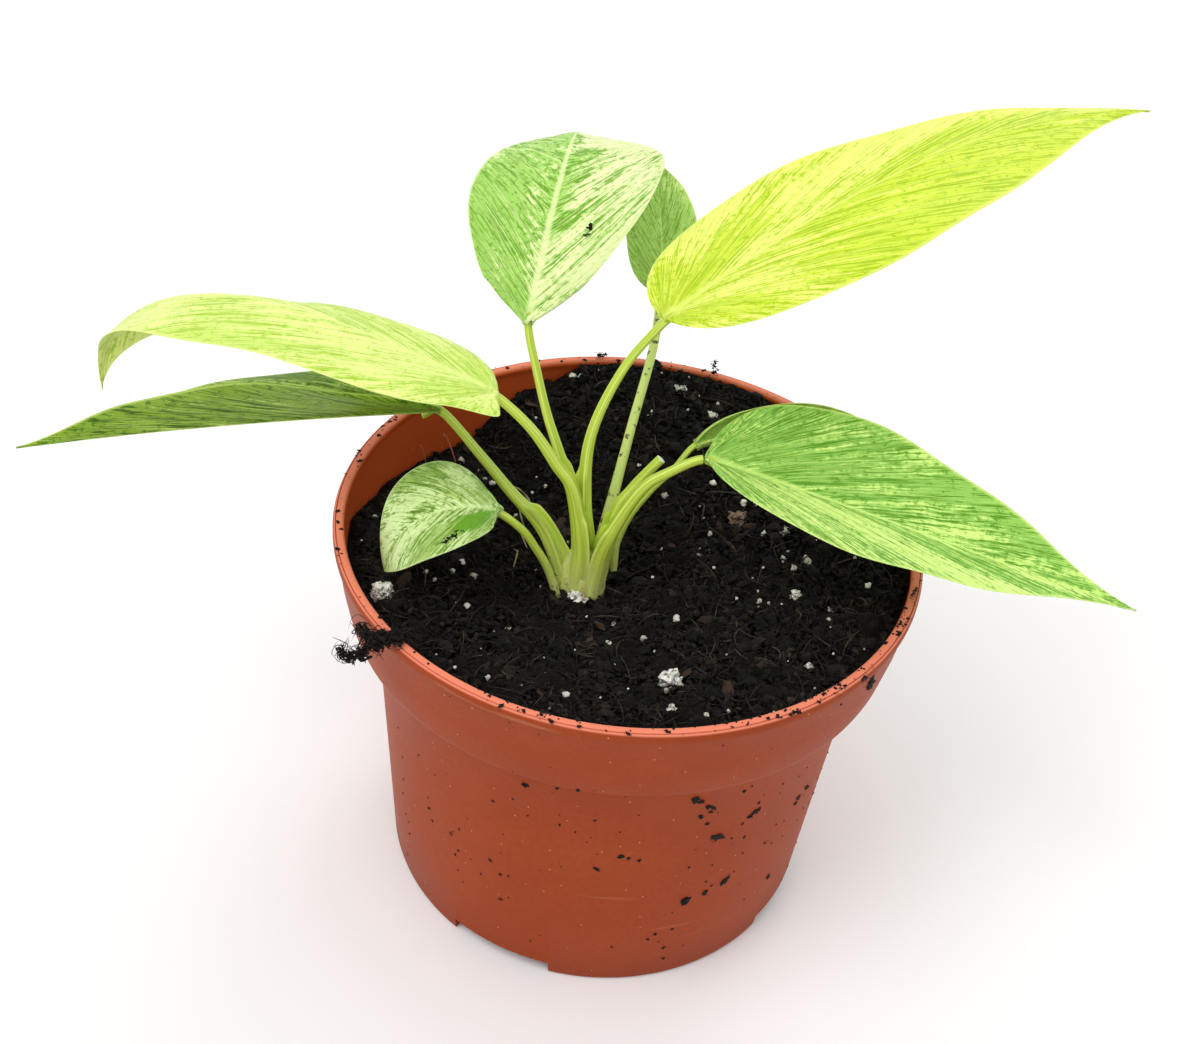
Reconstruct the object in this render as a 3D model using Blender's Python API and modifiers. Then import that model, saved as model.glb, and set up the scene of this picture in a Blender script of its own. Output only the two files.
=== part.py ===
"""A young variegated philodendron in a round plastic nursery pot.

Units are metres, +Z is up, and the origin is on the pot's axis at the level it stands on.
The front of the plant faces -Y.
"""

import math

import bmesh
import bpy
import numpy as np
from mathutils import Matrix, Vector, noise

# Driving dimensions of the pot
POT_HEIGHT = 0.090
RIM_RADIUS = 0.060
LIP_HEIGHT = 0.0024
LIP_WIDTH = 0.0024
COLLAR_FOOT_RADIUS = 0.0570
COLLAR_FOOT_Z = 0.0710
SHOULDER_RADIUS = 0.0514
SHOULDER_Z = 0.0668
BASE_RADIUS = 0.0470
WALL = 0.0013
FLOOR_TOP = 0.0053
FLOOR_UNDERSIDE = 0.0040
PAD_RADIUS = 0.0150
FOOT_RING_WIDTH = 0.0030
DRAIN_HOLES = 6
DRAIN_RADIUS = 0.0030
DRAIN_CIRCLE = 0.0300
NOTCHES = 4
NOTCH_ANGLE = -111.5
NOTCH_SIZE = (0.0120, 0.0230, 0.0036)

# Clearance kept between neighbouring solids
GAP = 0.0003

# Soil: the height of its edge at a few bearings round the pot, in degrees from +X
SOIL_EDGE = (
    (-180, 0.0810), (-137, 0.0815), (-90, 0.0830), (-30, 0.0850), (30, 0.0870), (60, 0.0885),
    (85, 0.0893), (103, 0.0890), (116, 0.0835), (137, 0.0745), (165, 0.0770), (180, 0.0810),
)
SOIL_CENTRE_HEIGHT = 0.0772
SOIL_RINGS = (0.14, 0.28, 0.42, 0.56, 0.70, 0.83, 0.93)
SOIL_SEGMENTS = 40
SOIL_LUMP = 0.0007

# The short stem that every petiole and root grows from: centre line and radius
CROWN = (
    ((-0.0084, -0.0066, 0.0580), 0.0040),
    ((-0.0084, -0.0066, 0.0700), 0.0048),
    ((-0.0083, -0.0069, 0.0765), 0.0047),
    ((-0.0082, -0.0072, 0.0808), 0.0038),
)

# Petioles: route points from the crown upwards, foot radius, top radius, and the leaf carried
PETIOLES = {
    "petiole_upper_left": (
        ((-0.0094, -0.0105, 0.0848), (-0.0093, -0.0096, 0.0925), (-0.0119, -0.0085, 0.1028),
         (-0.0155, -0.0083, 0.1083), (-0.0208, -0.0079, 0.1157)),
        0.0015, 0.0009, "leaf_upper_left",
    ),
    "petiole_lower_left": (
        ((-0.0128, -0.0085, 0.0830), (-0.0180, -0.0041, 0.0895), (-0.0247, -0.0002, 0.0938),
         (-0.0315, 0.0041, 0.0986)),
        0.0015, 0.0009, "leaf_lower_left",
    ),
    "petiole_small_left": (
        ((-0.0136, -0.0121, 0.0795), (-0.0153, -0.0120, 0.0850), (-0.0180, -0.0127, 0.0905),
         (-0.0208, -0.0132, 0.0950)),
        0.0010, 0.0008, "leaf_small_left",
    ),
    "petiole_upright": (
        ((-0.0110, -0.0038, 0.0855), (-0.0125, -0.0010, 0.0960), (-0.0159, 0.0017, 0.1044),
         (-0.0189, 0.0047, 0.1105), (-0.0216, 0.0080, 0.1175)),
        0.0012, 0.0008, "leaf_upright",
    ),
    "petiole_tall_right": (
        ((-0.0075, -0.0064, 0.0845), (-0.0099, -0.0057, 0.0984), (-0.0095, -0.0029, 0.1123),
         (-0.0049, 0.0002, 0.1260)),
        0.0020, 0.0008, "leaf_tall_right",
    ),
    "petiole_back": (
        ((-0.0052, -0.0013, 0.0815), (-0.0040, 0.0058, 0.0918), (-0.0020, 0.0156, 0.1024),
         (0.0004, 0.0261, 0.1143)),
        0.0010, 0.0009, "leaf_back",
    ),
    "petiole_low_right": (
        ((-0.0045, -0.0112, 0.0845), (-0.0040, -0.0102, 0.0930), (0.0013, -0.0085, 0.1045),
         (0.0067, -0.0075, 0.1093)),
        0.0017, 0.0009, "leaf_low_right",
    ),
    "petiole_curled": (
        ((-0.0024, -0.0032, 0.0805), (-0.0021, -0.0012, 0.0850), (-0.0001, 0.0009, 0.0905),
         (0.0034, 0.0029, 0.0959), (0.0074, 0.0048, 0.1005)),
        0.0008, 0.0006, "leaf_curled",
    ),
    "cut_petiole_stub": (
        ((-0.0034, -0.0065, 0.0845), (-0.0030, -0.0053, 0.0963), (-0.0006, -0.0040, 0.1008),
         (0.0020, -0.0030, 0.1046), (0.0046, -0.0020, 0.1079)),
        0.0011, 0.0010, None,
    ),
}

# Leaves. base: where the blade meets its petiole. yaw and pitch: heading of the midrib there,
# and sweep and droop: how far it has turned by the tip, in degrees. late: how late it droops.
# roll and twist: bank at the base, and added by the tip. fold: rise of the halves at the base,
# and fold_tip: at the tip. cup: how much each half curls up, left and right. shape: exponents
# of the outline at the base and the tip. lobe: how far the base lobes reach back.
# offset: how much wider the left half is than the right.
LEAVES = {
    "leaf_upper_left": dict(
        base=(-0.0278, -0.0075, 0.1230), yaw=172, pitch=17, length=0.1075, width=0.0408,
        sweep=-15, droop=105, late=2.0, roll=9, twist=13, fold=13, fold_tip=-13,
        cup=(-27, -38), shape=(0.66, 1.1), lobe=0.042, offset=-0.07,
    ),
    "leaf_lower_left": dict(
        base=(-0.0413, 0.0098, 0.1053), yaw=199, pitch=1, length=0.084, width=0.0307,
        sweep=-10, droop=13, late=1.2, roll=7, twist=28, fold=20, fold_tip=49,
        cup=(26, -24), shape=(0.65, 1.3), lobe=0.033, offset=-0.02,
    ),
    "leaf_small_left": dict(
        base=(-0.0256, -0.0140, 0.1001), yaw=196, pitch=20, length=0.0312, width=0.0278,
        sweep=-1, droop=112, late=1.1, roll=0, twist=-16, fold=8, fold_tip=7,
        cup=(4, -21), shape=(0.64, 0.8), lobe=0.013, offset=-0.06,
    ),
    "leaf_upright": dict(
        base=(-0.0247, 0.0122, 0.1264), yaw=84, pitch=44, length=0.0622, width=0.0405,
        sweep=5, droop=64, late=1.2, roll=-18, twist=20, fold=6, fold_tip=-12,
        cup=(-12, 18), shape=(0.71, 1.1), lobe=0.005, offset=-0.04,
    ),
    "leaf_tall_right": dict(
        base=(0.0016, 0.0031, 0.1369), yaw=37, pitch=26, length=0.1204, width=0.0433,
        sweep=-5, droop=37, late=1.5, roll=-19, twist=21, fold=10, fold_tip=-11,
        cup=(-1, -26), shape=(0.48, 1.25), lobe=0.026, offset=-0.01,
    ),
    "leaf_back": dict(
        base=(0.0008, 0.0340, 0.1235), yaw=98, pitch=52, length=0.031, width=0.0155,
        sweep=10, droop=30, late=1.3, roll=0, twist=0, fold=12, fold_tip=8,
        cup=(0, 0), shape=(0.6, 1.0), lobe=0.03, offset=0,
    ),
    "leaf_low_right": dict(
        base=(0.0132, -0.0064, 0.1130), yaw=0, pitch=-15, length=0.0907, width=0.0409,
        sweep=-6, droop=-3, late=1.2, roll=2, twist=2, fold=22, fold_tip=18,
        cup=(8, -6), shape=(0.54, 1.23), lobe=0.0, offset=-0.05,
    ),
    "leaf_curled": dict(
        base=(0.0115, 0.0070, 0.1060), yaw=24, pitch=10, length=0.044, width=0.0135,
        sweep=-8, droop=30, late=1.1, roll=25, twist=0, fold=45, fold_tip=55,
        cup=(45, 45), shape=(0.7, 1.1), lobe=0.01, offset=0,
    ),
}
LEAF_THICKNESS = 0.0006
LEAF_ROWS = 13
LEAF_COLUMNS = 4
ROW_CROWDING = 1.25
COLUMN_CROWDING = 0.75
VEIN_LEAN = 1.6

# Roots: route points from the crown down, each root from 0.9 mm to 0.5 mm in radius
ROOTS = (
    ((-0.0055, -0.0066, 0.0570), (-0.0010, -0.0060, 0.0520), (0.0080, -0.0040, 0.0470),
     (0.0180, -0.0010, 0.0380), (0.0230, 0.0010, 0.0260)),
    ((-0.0112, -0.0072, 0.0570), (-0.0160, -0.0090, 0.0530), (-0.0240, -0.0110, 0.0460),
     (-0.0320, -0.0100, 0.0340), (-0.0330, -0.0070, 0.0220)),
    ((-0.0090, -0.0037, 0.0565), (-0.0100, 0.0020, 0.0500), (-0.0120, 0.0120, 0.0440),
     (-0.0110, 0.0230, 0.0340), (-0.0080, 0.0290, 0.0200)),
    ((-0.0078, -0.0096, 0.0565), (-0.0070, -0.0150, 0.0500), (-0.0020, -0.0230, 0.0430),
     (0.0040, -0.0290, 0.0320), (0.0060, -0.0310, 0.0180)),
    ((-0.0084, -0.0066, 0.0560), (-0.0086, -0.0064, 0.0480), (-0.0060, -0.0060, 0.0360),
     (-0.0020, -0.0040, 0.0250), (0.0010, 0.0020, 0.0140)),
)
ROOT_RADII = (0.0009, 0.0005)

# Perlite grains on the soil: name, x, y, radius
GRAINS = (
    ("crown", -0.0089, -0.0141, 0.0024), ("edge", -0.0468, -0.0220, 0.0026),
    ("front_left", -0.0202, -0.0287, 0.0013), ("front", 0.0112, -0.0372, 0.0024),
    ("front_small", 0.0118, -0.0460, 0.0014), ("brown", 0.0226, 0.0142, 0.0022),
    ("right_a", 0.0327, 0.0100, 0.0013), ("right_b", 0.0333, 0.0032, 0.0012),
    ("right_c", 0.0371, 0.0008, 0.0013), ("middle", 0.0152, 0.0062, 0.0011),
    ("right_d", 0.0349, -0.0100, 0.0015), ("right_e", 0.0422, -0.0135, 0.0010),
    ("right_f", 0.0374, -0.0312, 0.0010), ("back_a", 0.0079, 0.0500, 0.0013),
    ("back_b", 0.0016, 0.0422, 0.0013), ("back_c", 0.0155, 0.0430, 0.0015),
    ("left", -0.0242, 0.0124, 0.0011),
)
GRAIN_RISE = 0.3

# Crumbs of soil lying on the rim: name, centre, half sizes along, across and up, and the
# bearing of the long side in degrees
CRUMBS = (
    ("front_left", (-0.0448, -0.0436, 0.0916), (0.0064, 0.0030, 0.0022), 4),
    ("back_left", (-0.0108, 0.0577, 0.0915), (0.0016, 0.0010, 0.0011), 0),
    ("back_right", (0.0150, 0.0562, 0.0924), (0.0012, 0.0012, 0.0020), 0),
    ("right", (0.0575, -0.0125, 0.0914), (0.0013, 0.0010, 0.0010), 90),
)

# Dry sheath fibres that lie over the soil behind the crown
FIBRES = (
    ((-0.0262, 0.0175, 0.0812), (-0.0240, 0.0140, 0.0832), (-0.0215, 0.0105, 0.0830),
     (-0.0200, 0.0060, 0.0800)),
    ((-0.0290, 0.0080, 0.0800), (-0.0262, 0.0065, 0.0822), (-0.0230, 0.0035, 0.0812),
     (-0.0205, -0.0005, 0.0796)),
)
FIBRE_RADIUS = 0.0003

TUBE_POINTS_PER_SPAN = 4
POT_STEPS = 48


def clear_scene():
    for obj in list(bpy.data.objects):
        bpy.data.objects.remove(obj, do_unlink=True)


def new_collection(name, hidden=False):
    collection = bpy.data.collections.new(name)
    collection.hide_render = hidden
    bpy.context.scene.collection.children.link(collection)
    return collection


def new_material(name, colour, roughness, metallic=0.0):
    material = bpy.data.materials.new(name)
    material.use_nodes = True
    shader = material.node_tree.nodes["Principled BSDF"]
    shader.inputs["Base Color"].default_value = (*colour, 1.0)
    shader.inputs["Roughness"].default_value = roughness
    shader.inputs["Metallic"].default_value = metallic
    material.diffuse_color = (*colour, 1.0)
    return material


def link_mesh(bm, name, collection, material=None):
    mesh = bpy.data.meshes.new(name)
    bm.to_mesh(mesh)
    bm.free()
    mesh.shade_smooth()
    mesh.set_sharp_from_angle(angle=math.radians(40))
    if material:
        mesh.materials.append(material)
    obj = bpy.data.objects.new(name, mesh)
    collection.objects.link(obj)
    if collection.hide_render:
        obj.hide_render = True
        obj.display_type = "WIRE"
    return obj


def turn_about_z(angle):
    return Matrix.Rotation(angle, 3, "Z")


def boolean_difference(obj, cutter):
    modifier = obj.modifiers.new("Cut " + cutter.name, "BOOLEAN")
    modifier.operation = "DIFFERENCE"
    modifier.solver = "EXACT"
    modifier.object = cutter


def smooth_route(points, per_span=TUBE_POINTS_PER_SPAN):
    """Points on a Catmull-Rom curve through the route's own points."""
    points = [Vector(p) for p in points]
    ends = [2 * points[0] - points[1], *points, 2 * points[-1] - points[-2]]
    route = []
    for a, b, c, d in zip(ends, ends[1:], ends[2:], ends[3:]):
        for step in range(per_span):
            t = step / per_span
            route.append(0.5 * (2 * b + (c - a) * t + (2 * a - 5 * b + 4 * c - d) * t**2
                                + (3 * b - 3 * c + d - a) * t**3))
    return route + [points[-1]]


def tube_curve(name, route, radii, collection, material=None):
    """A round tube with filled caps, whose radius runs through radii along the route."""
    curve = bpy.data.curves.new(name, "CURVE")
    curve.dimensions = "3D"
    curve.bevel_depth = 1.0
    curve.bevel_resolution = 2
    curve.use_fill_caps = True
    spline = curve.splines.new("POLY")
    spline.points.add(len(route) - 1)
    for i, (point, radius) in enumerate(zip(spline.points, np.interp(
            np.linspace(0, 1, len(route)), np.linspace(0, 1, len(radii)), radii))):
        point.co = (*route[i], 1.0)
        point.radius = float(radius)
    if material:
        curve.materials.append(material)
    obj = bpy.data.objects.new(name, curve)
    collection.objects.link(obj)
    return obj


def tube_cutter(name, route, radii, collection):
    """The same tube as a closed mesh, which a Boolean can cut with."""
    obj = tube_curve(name, route, radii, collection)
    graph = bpy.context.evaluated_depsgraph_get()
    mesh = bpy.data.meshes.new_from_object(obj.evaluated_get(graph))
    bm = bmesh.new()
    bm.from_mesh(mesh)
    bmesh.ops.remove_doubles(bm, verts=bm.verts, dist=1e-6)
    cutter = link_mesh(bm, name + "_mesh", collection)
    cutter.matrix_world = obj.matrix_world
    bpy.data.objects.remove(obj)
    return cutter


def inner_radius(z):
    """Radius of the pot's inner wall at height z."""
    heights = (FLOOR_TOP, SHOULDER_Z + 0.0006, COLLAR_FOOT_Z, POT_HEIGHT - LIP_HEIGHT)
    outer = (BASE_RADIUS + 0.0003, SHOULDER_RADIUS, COLLAR_FOOT_RADIUS, RIM_RADIUS - 0.0004)
    return float(np.interp(z, heights, outer)) - WALL


def pot_profile():
    """The wall's section from the middle of the floor, over the rim and back underneath."""
    lip_foot = POT_HEIGHT - LIP_HEIGHT
    ring_inside = BASE_RADIUS - FOOT_RING_WIDTH
    return (
        (0.0, FLOOR_TOP - FLOOR_UNDERSIDE),
        (PAD_RADIUS - 0.0010, FLOOR_TOP - FLOOR_UNDERSIDE),
        (PAD_RADIUS + 0.0005, FLOOR_TOP),
        (inner_radius(FLOOR_TOP) - 0.0015, FLOOR_TOP),
        (inner_radius(FLOOR_TOP), FLOOR_TOP + 0.0015),
        (inner_radius(SHOULDER_Z + 0.0006), SHOULDER_Z + 0.0006),
        (inner_radius(COLLAR_FOOT_Z), COLLAR_FOOT_Z),
        (inner_radius(lip_foot), lip_foot),
        (RIM_RADIUS - LIP_WIDTH, POT_HEIGHT - 0.0010),
        (RIM_RADIUS - LIP_WIDTH + 0.0006, POT_HEIGHT),
        (RIM_RADIUS - 0.0008, POT_HEIGHT),
        (RIM_RADIUS, POT_HEIGHT - 0.0008),
        (RIM_RADIUS, lip_foot),
        (RIM_RADIUS - 0.0004, lip_foot - 0.0004),
        (COLLAR_FOOT_RADIUS, COLLAR_FOOT_Z),
        (COLLAR_FOOT_RADIUS - 0.0010, COLLAR_FOOT_Z - 0.0015),
        (SHOULDER_RADIUS, SHOULDER_Z),
        (BASE_RADIUS, 0.0012),
        (BASE_RADIUS - 0.0008, 0.0),
        (ring_inside + 0.0003, 0.0),
        (ring_inside, FLOOR_UNDERSIDE),
        (PAD_RADIUS + 0.0010, FLOOR_UNDERSIDE),
        (PAD_RADIUS, 0.0),
        (0.0, 0.0),
    )


def turned(name, profile, steps, collection, material=None):
    bm = bmesh.new()
    verts = [bm.verts.new((radius, 0.0, z)) for radius, z in profile]
    for a, b in zip(verts, verts[1:]):
        bm.edges.new((a, b))
    obj = link_mesh(bm, name, collection, material)
    screw = obj.modifiers.new("Turn", "SCREW")
    screw.steps = steps
    screw.render_steps = steps
    screw.use_merge_vertices = True
    screw.merge_threshold = 1e-6
    return obj


def build_pot(parts, cutters):
    material = new_material("terracotta_plastic", (0.36, 0.085, 0.035), 0.42)
    pot = turned("nursery_pot", pot_profile(), POT_STEPS, parts, material)
    bm = bmesh.new()
    for i in range(DRAIN_HOLES):
        angle = 2 * math.pi * i / DRAIN_HOLES
        hole = bmesh.ops.create_cone(bm, cap_ends=True, segments=12, depth=0.010,
                                     radius1=DRAIN_RADIUS, radius2=DRAIN_RADIUS)
        place = (DRAIN_CIRCLE * math.cos(angle), DRAIN_CIRCLE * math.sin(angle), 0.0032)
        bmesh.ops.translate(bm, verts=hole["verts"], vec=place)
    for i in range(NOTCHES):
        angle = math.radians(NOTCH_ANGLE) + 2 * math.pi * i / NOTCHES
        notch = bmesh.ops.create_cube(bm, size=1.0)["verts"]
        bmesh.ops.scale(bm, verts=notch, vec=(NOTCH_SIZE[0], NOTCH_SIZE[1], 2 * NOTCH_SIZE[2]))
        bmesh.ops.translate(bm, verts=notch, vec=(BASE_RADIUS, 0.0, 0.0))
        bmesh.ops.rotate(bm, verts=notch, matrix=turn_about_z(angle))
    boolean_difference(pot, link_mesh(bm, "pot_cuts", cutters))
    return pot


def soil_edge_height(angle):
    bearings, heights = zip(*SOIL_EDGE)
    bearing = (math.degrees(angle) + 180) % 360 - 180
    i = max(np.searchsorted(bearings, bearing, side="right") - 1, 0)
    i = min(i, len(bearings) - 2)
    t = (bearing - bearings[i]) / (bearings[i + 1] - bearings[i])
    return heights[i] + (heights[i + 1] - heights[i]) * (3 * t**2 - 2 * t**3)


def soil_height(x, y):
    """Height of the soil's surface: level round the crown, and rising or falling to its edge."""
    radius = math.hypot(x, y)
    edge = soil_edge_height(math.atan2(y, x))
    t = min(radius / inner_radius(edge), 1.0)
    lump = SOIL_LUMP * noise.noise(Vector((x, y, 0.0)) / 0.009) * (1 - t**4)
    return SOIL_CENTRE_HEIGHT + (edge - SOIL_CENTRE_HEIGHT) * (3 * t**2 - 2 * t**3) + lump


def build_soil(parts, cutters):
    material = new_material("potting_mix", (0.022, 0.014, 0.010), 0.95)
    angles = [2 * math.pi * i / SOIL_SEGMENTS for i in range(SOIL_SEGMENTS)]
    levels = [(PAD_RADIUS - 0.0015, FLOOR_TOP - FLOOR_UNDERSIDE + GAP)]
    levels.append((PAD_RADIUS, FLOOR_TOP + GAP))
    levels.append((inner_radius(FLOOR_TOP) - 0.0022, FLOOR_TOP + GAP))
    levels.append((inner_radius(FLOOR_TOP) - 1.5 * GAP, FLOOR_TOP + 0.0020))
    levels.append((inner_radius(SHOULDER_Z) - 1.5 * GAP, SHOULDER_Z + 0.0010))
    levels.append((inner_radius(COLLAR_FOOT_Z) - 1.5 * GAP, COLLAR_FOOT_Z + 0.0004))
    rings = [[(r * math.cos(a), r * math.sin(a), z) for a in angles] for r, z in levels]
    edge = []
    for a in angles:
        z = soil_edge_height(a)
        r = min(inner_radius(z), RIM_RADIUS - LIP_WIDTH) - 1.5 * GAP
        edge.append((r * math.cos(a), r * math.sin(a), z))
    rings.append(edge)
    for share in reversed(SOIL_RINGS):
        ring = [(x * share, y * share) for x, y, _ in edge]
        rings.append([(x, y, soil_height(x, y)) for x, y in ring])
    bm = bmesh.new()
    rows = [[bm.verts.new(p) for p in ring] for ring in rings]
    for lower, upper in zip(rows, rows[1:]):
        for i in range(SOIL_SEGMENTS):
            j = (i + 1) % SOIL_SEGMENTS
            bm.faces.new((lower[i], lower[j], upper[j], upper[i]))
    bottom = bm.verts.new((0, 0, levels[0][1]))
    top = bm.verts.new((0, 0, soil_height(0, 0)))
    for i in range(SOIL_SEGMENTS):
        j = (i + 1) % SOIL_SEGMENTS
        bm.faces.new((bottom, rows[0][j], rows[0][i]))
        bm.faces.new((top, rows[-1][i], rows[-1][j]))
    soil = link_mesh(bm, "potting_soil", parts, material)
    boolean_difference(soil, build_crown_socket(cutters))
    boolean_difference(soil, build_grain_sockets(cutters))
    return soil


def build_crown(parts):
    material = new_material("crown_green", (0.42, 0.50, 0.22), 0.5)
    points, radii = zip(*CROWN)
    return tube_curve("stem_crown", points, radii, parts, material)


def build_crown_socket(cutters):
    """The hole that the crown stands in, joined to the channels that the roots run through."""
    points, radii = zip(*CROWN)
    points = [Vector(p) for p in points]
    points[0] = points[0] - Vector((0, 0, 0.0025))
    socket = tube_cutter("crown_socket", points, [r + 1.5 * GAP for r in radii], cutters)
    for i, route in enumerate(ROOTS):
        route = [Vector(p) for p in route]
        start = route[0] + Vector((0, 0, 0.0006))
        end = route[-1] + 2.0 * GAP * (route[-1] - route[-2]).normalized()
        radii = [r + 1.4 * GAP for r in ROOT_RADII]
        channel = tube_cutter(f"root_channel_{i}", smooth_route([start, *route[1:-1], end]),
                              radii, cutters)
        union = socket.modifiers.new(f"Join channel {i}", "BOOLEAN")
        union.operation = "UNION"
        union.solver = "EXACT"
        union.object = channel
    return socket


def build_roots(parts):
    material = new_material("root_cream", (0.55, 0.42, 0.27), 0.7)
    return [tube_curve(f"root_{i + 1}", smooth_route(route), ROOT_RADII, parts, material)
            for i, route in enumerate(ROOTS)]


def leaf_station(leaf, s):
    """Unit vectors along the midrib, to the left margin and off the upper face, at s of 0 to 1."""
    yaw = math.radians(leaf["yaw"] + leaf["sweep"] * s)
    pitch = math.radians(leaf["pitch"] - leaf["droop"] * s ** leaf["late"])
    bank = math.radians(leaf["roll"] + leaf["twist"] * s)
    along = Vector((math.cos(pitch) * math.cos(yaw), math.cos(pitch) * math.sin(yaw),
                    math.sin(pitch)))
    level = Vector((-math.sin(yaw), math.cos(yaw), 0))
    left = level * math.cos(bank) + along.cross(level) * math.sin(bank)
    return along, left, along.cross(left)


def leaf_midrib(leaf, steps=60):
    """The midrib's points, evenly spaced from base to tip."""
    points = [Vector(leaf["base"])]
    for i in range(steps):
        along = leaf_station(leaf, (i + 0.5) / steps)[0]
        points.append(points[-1] + along * leaf["length"] / steps)
    return points


def half_section(leaf, u, side):
    """Sideways reach and rise, at 21 even steps of v, for a half blade one unit wide."""
    lift = math.radians(leaf["fold"] + (leaf["fold_tip"] - leaf["fold"]) * u)
    cup = math.radians(leaf["cup"][0 if side > 0 else 1])
    steps = 20
    reach, rise = [0.0], [0.0]
    for i in range(steps):
        angle = lift + cup * (i + 0.5) / steps
        reach.append(reach[-1] + math.cos(angle) / steps)
        rise.append(rise[-1] + math.sin(angle) / steps)
    return np.array(reach), np.array(rise)


def leaf_point(leaf, midrib, u, v, side):
    """A point of the blade: u runs up the veins' feet, and v along a vein to the margin."""
    base_power, tip_power = leaf["shape"]
    widest = base_power / (base_power + tip_power)
    fullness = u**base_power * (1 - u)**tip_power
    fullness /= widest**base_power * (1 - widest)**tip_power
    half_width = leaf["width"] / 2 * fullness * (1 + side * leaf["offset"])
    margin = u - leaf["lobe"] * math.sin(math.pi * min(u / 0.3, 1))
    lean = v**COLUMN_CROWDING
    s = u**VEIN_LEAN * (1 - lean) + margin * lean
    clamped = min(max(s, 0.0), 1.0)
    place = clamped * (len(midrib) - 1)
    i = min(int(place), len(midrib) - 2)
    along, left, up = leaf_station(leaf, clamped)
    centre = midrib[i].lerp(midrib[i + 1], place - i) + along * (s - clamped) * leaf["length"]
    reach, rise = half_section(leaf, u, side)
    steps = np.linspace(0, 1, len(reach))
    across = float(np.interp(v, steps, reach)) * half_width * side
    return centre + left * across + up * float(np.interp(v, steps, rise)) * half_width


def build_leaf(name, leaf, parts, material):
    midrib = leaf_midrib(leaf)
    columns = [(-1, c / (LEAF_COLUMNS - 1)) for c in range(LEAF_COLUMNS - 1, 0, -1)]
    columns += [(1, c / (LEAF_COLUMNS - 1)) for c in range(LEAF_COLUMNS)]
    bm = bmesh.new()
    rows = []
    for r in range(LEAF_ROWS):
        u = (r / (LEAF_ROWS - 1)) ** ROW_CROWDING
        rows.append([bm.verts.new(leaf_point(leaf, midrib, u, v, side)) for side, v in columns])
    for near, far in zip(rows, rows[1:]):
        for i in range(len(columns) - 1):
            bm.faces.new((near[i], far[i], far[i + 1], near[i + 1]))
    bmesh.ops.remove_doubles(bm, verts=bm.verts, dist=2e-5)
    obj = link_mesh(bm, name, parts, material)
    solidify = obj.modifiers.new("Blade thickness", "SOLIDIFY")
    solidify.thickness = LEAF_THICKNESS
    solidify.offset = -1.0
    return obj


def build_leaves(parts):
    lime = new_material("leaf_lime", (0.62, 0.75, 0.10), 0.45)
    green = new_material("leaf_green", (0.18, 0.42, 0.08), 0.45)
    green_ones = ("leaf_lower_left", "leaf_low_right", "leaf_back", "leaf_curled")
    for name, leaf in LEAVES.items():
        build_leaf(name, leaf, parts, green if name in green_ones else lime)


def build_petioles(parts):
    material = new_material("petiole_green", (0.48, 0.62, 0.09), 0.42)
    for name, (points, foot, top, leaf_name) in PETIOLES.items():
        route = [Vector(p) for p in points]
        if leaf_name:
            leaf = LEAVES[leaf_name]
            along, _, up = leaf_station(leaf, 0.0)
            route.append(Vector(leaf["base"]) - along * (top + GAP) - up * top)
        tube_curve(name, smooth_route(route), (foot, top), parts, material)


def lump(radii, seed, rough=0.22, subdivisions=1):
    """A rough pebble shape about the origin."""
    bm = bmesh.new()
    bmesh.ops.create_icosphere(bm, subdivisions=subdivisions, radius=1.0)
    for vert in bm.verts:
        size = 1 + rough * noise.noise(vert.co * 1.7 + Vector((seed * 3.1, seed * 1.3, 0)))
        vert.co = Vector(c * size * r for c, r in zip(vert.co, radii))
    return bm


def grain_centre(x, y, radius):
    return Vector((x, y, soil_height(x, y) + GRAIN_RISE * radius))


def build_grains(parts):
    white = new_material("perlite_white", (0.80, 0.79, 0.74), 0.85)
    brown = new_material("perlite_stained", (0.40, 0.28, 0.22), 0.85)
    for seed, (name, x, y, radius) in enumerate(GRAINS):
        bm = lump((radius, radius, radius), seed)
        bmesh.ops.translate(bm, verts=bm.verts, vec=grain_centre(x, y, radius))
        link_mesh(bm, "perlite_" + name, parts, brown if name == "brown" else white)


def build_grain_sockets(cutters):
    sockets = bmesh.new()
    for seed, (_, x, y, radius) in enumerate(GRAINS):
        size = radius + 1.3 * GAP
        bm = lump((size, size, size), seed)
        bmesh.ops.translate(bm, verts=bm.verts, vec=grain_centre(x, y, radius))
        mesh = bpy.data.meshes.new("socket")
        bm.to_mesh(mesh)
        bm.free()
        sockets.from_mesh(mesh)
        bpy.data.meshes.remove(mesh)
    return link_mesh(sockets, "grain_sockets", cutters)


def build_crumbs(parts):
    material = new_material("soil_crumb", (0.020, 0.013, 0.010), 0.95)
    rest = POT_HEIGHT + GAP
    for seed, (name, centre, sizes, bearing) in enumerate(CRUMBS):
        bm = lump(sizes, seed + 40, 0.45)
        bmesh.ops.rotate(bm, verts=bm.verts, matrix=turn_about_z(math.radians(bearing)))
        bmesh.ops.translate(bm, verts=bm.verts, vec=centre)
        cut = bmesh.ops.bisect_plane(bm, geom=bm.verts[:] + bm.edges[:] + bm.faces[:],
                                     plane_co=(0, 0, rest), plane_no=(0, 0, 1), clear_inner=True)
        rim = [e for e in cut["geom_cut"] if isinstance(e, bmesh.types.BMEdge)]
        if rim:
            bmesh.ops.holes_fill(bm, edges=rim)
        bmesh.ops.recalc_face_normals(bm, faces=bm.faces)
        link_mesh(bm, "soil_crumb_" + name, parts, material)


def build_fibres(parts):
    material = new_material("dry_fibre", (0.35, 0.24, 0.13), 0.8)
    for i, route in enumerate(FIBRES):
        radii = (FIBRE_RADIUS, FIBRE_RADIUS, 0.6 * FIBRE_RADIUS)
        tube_curve(f"dry_fibre_{i + 1}", smooth_route(route), radii, parts, material)


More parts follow.
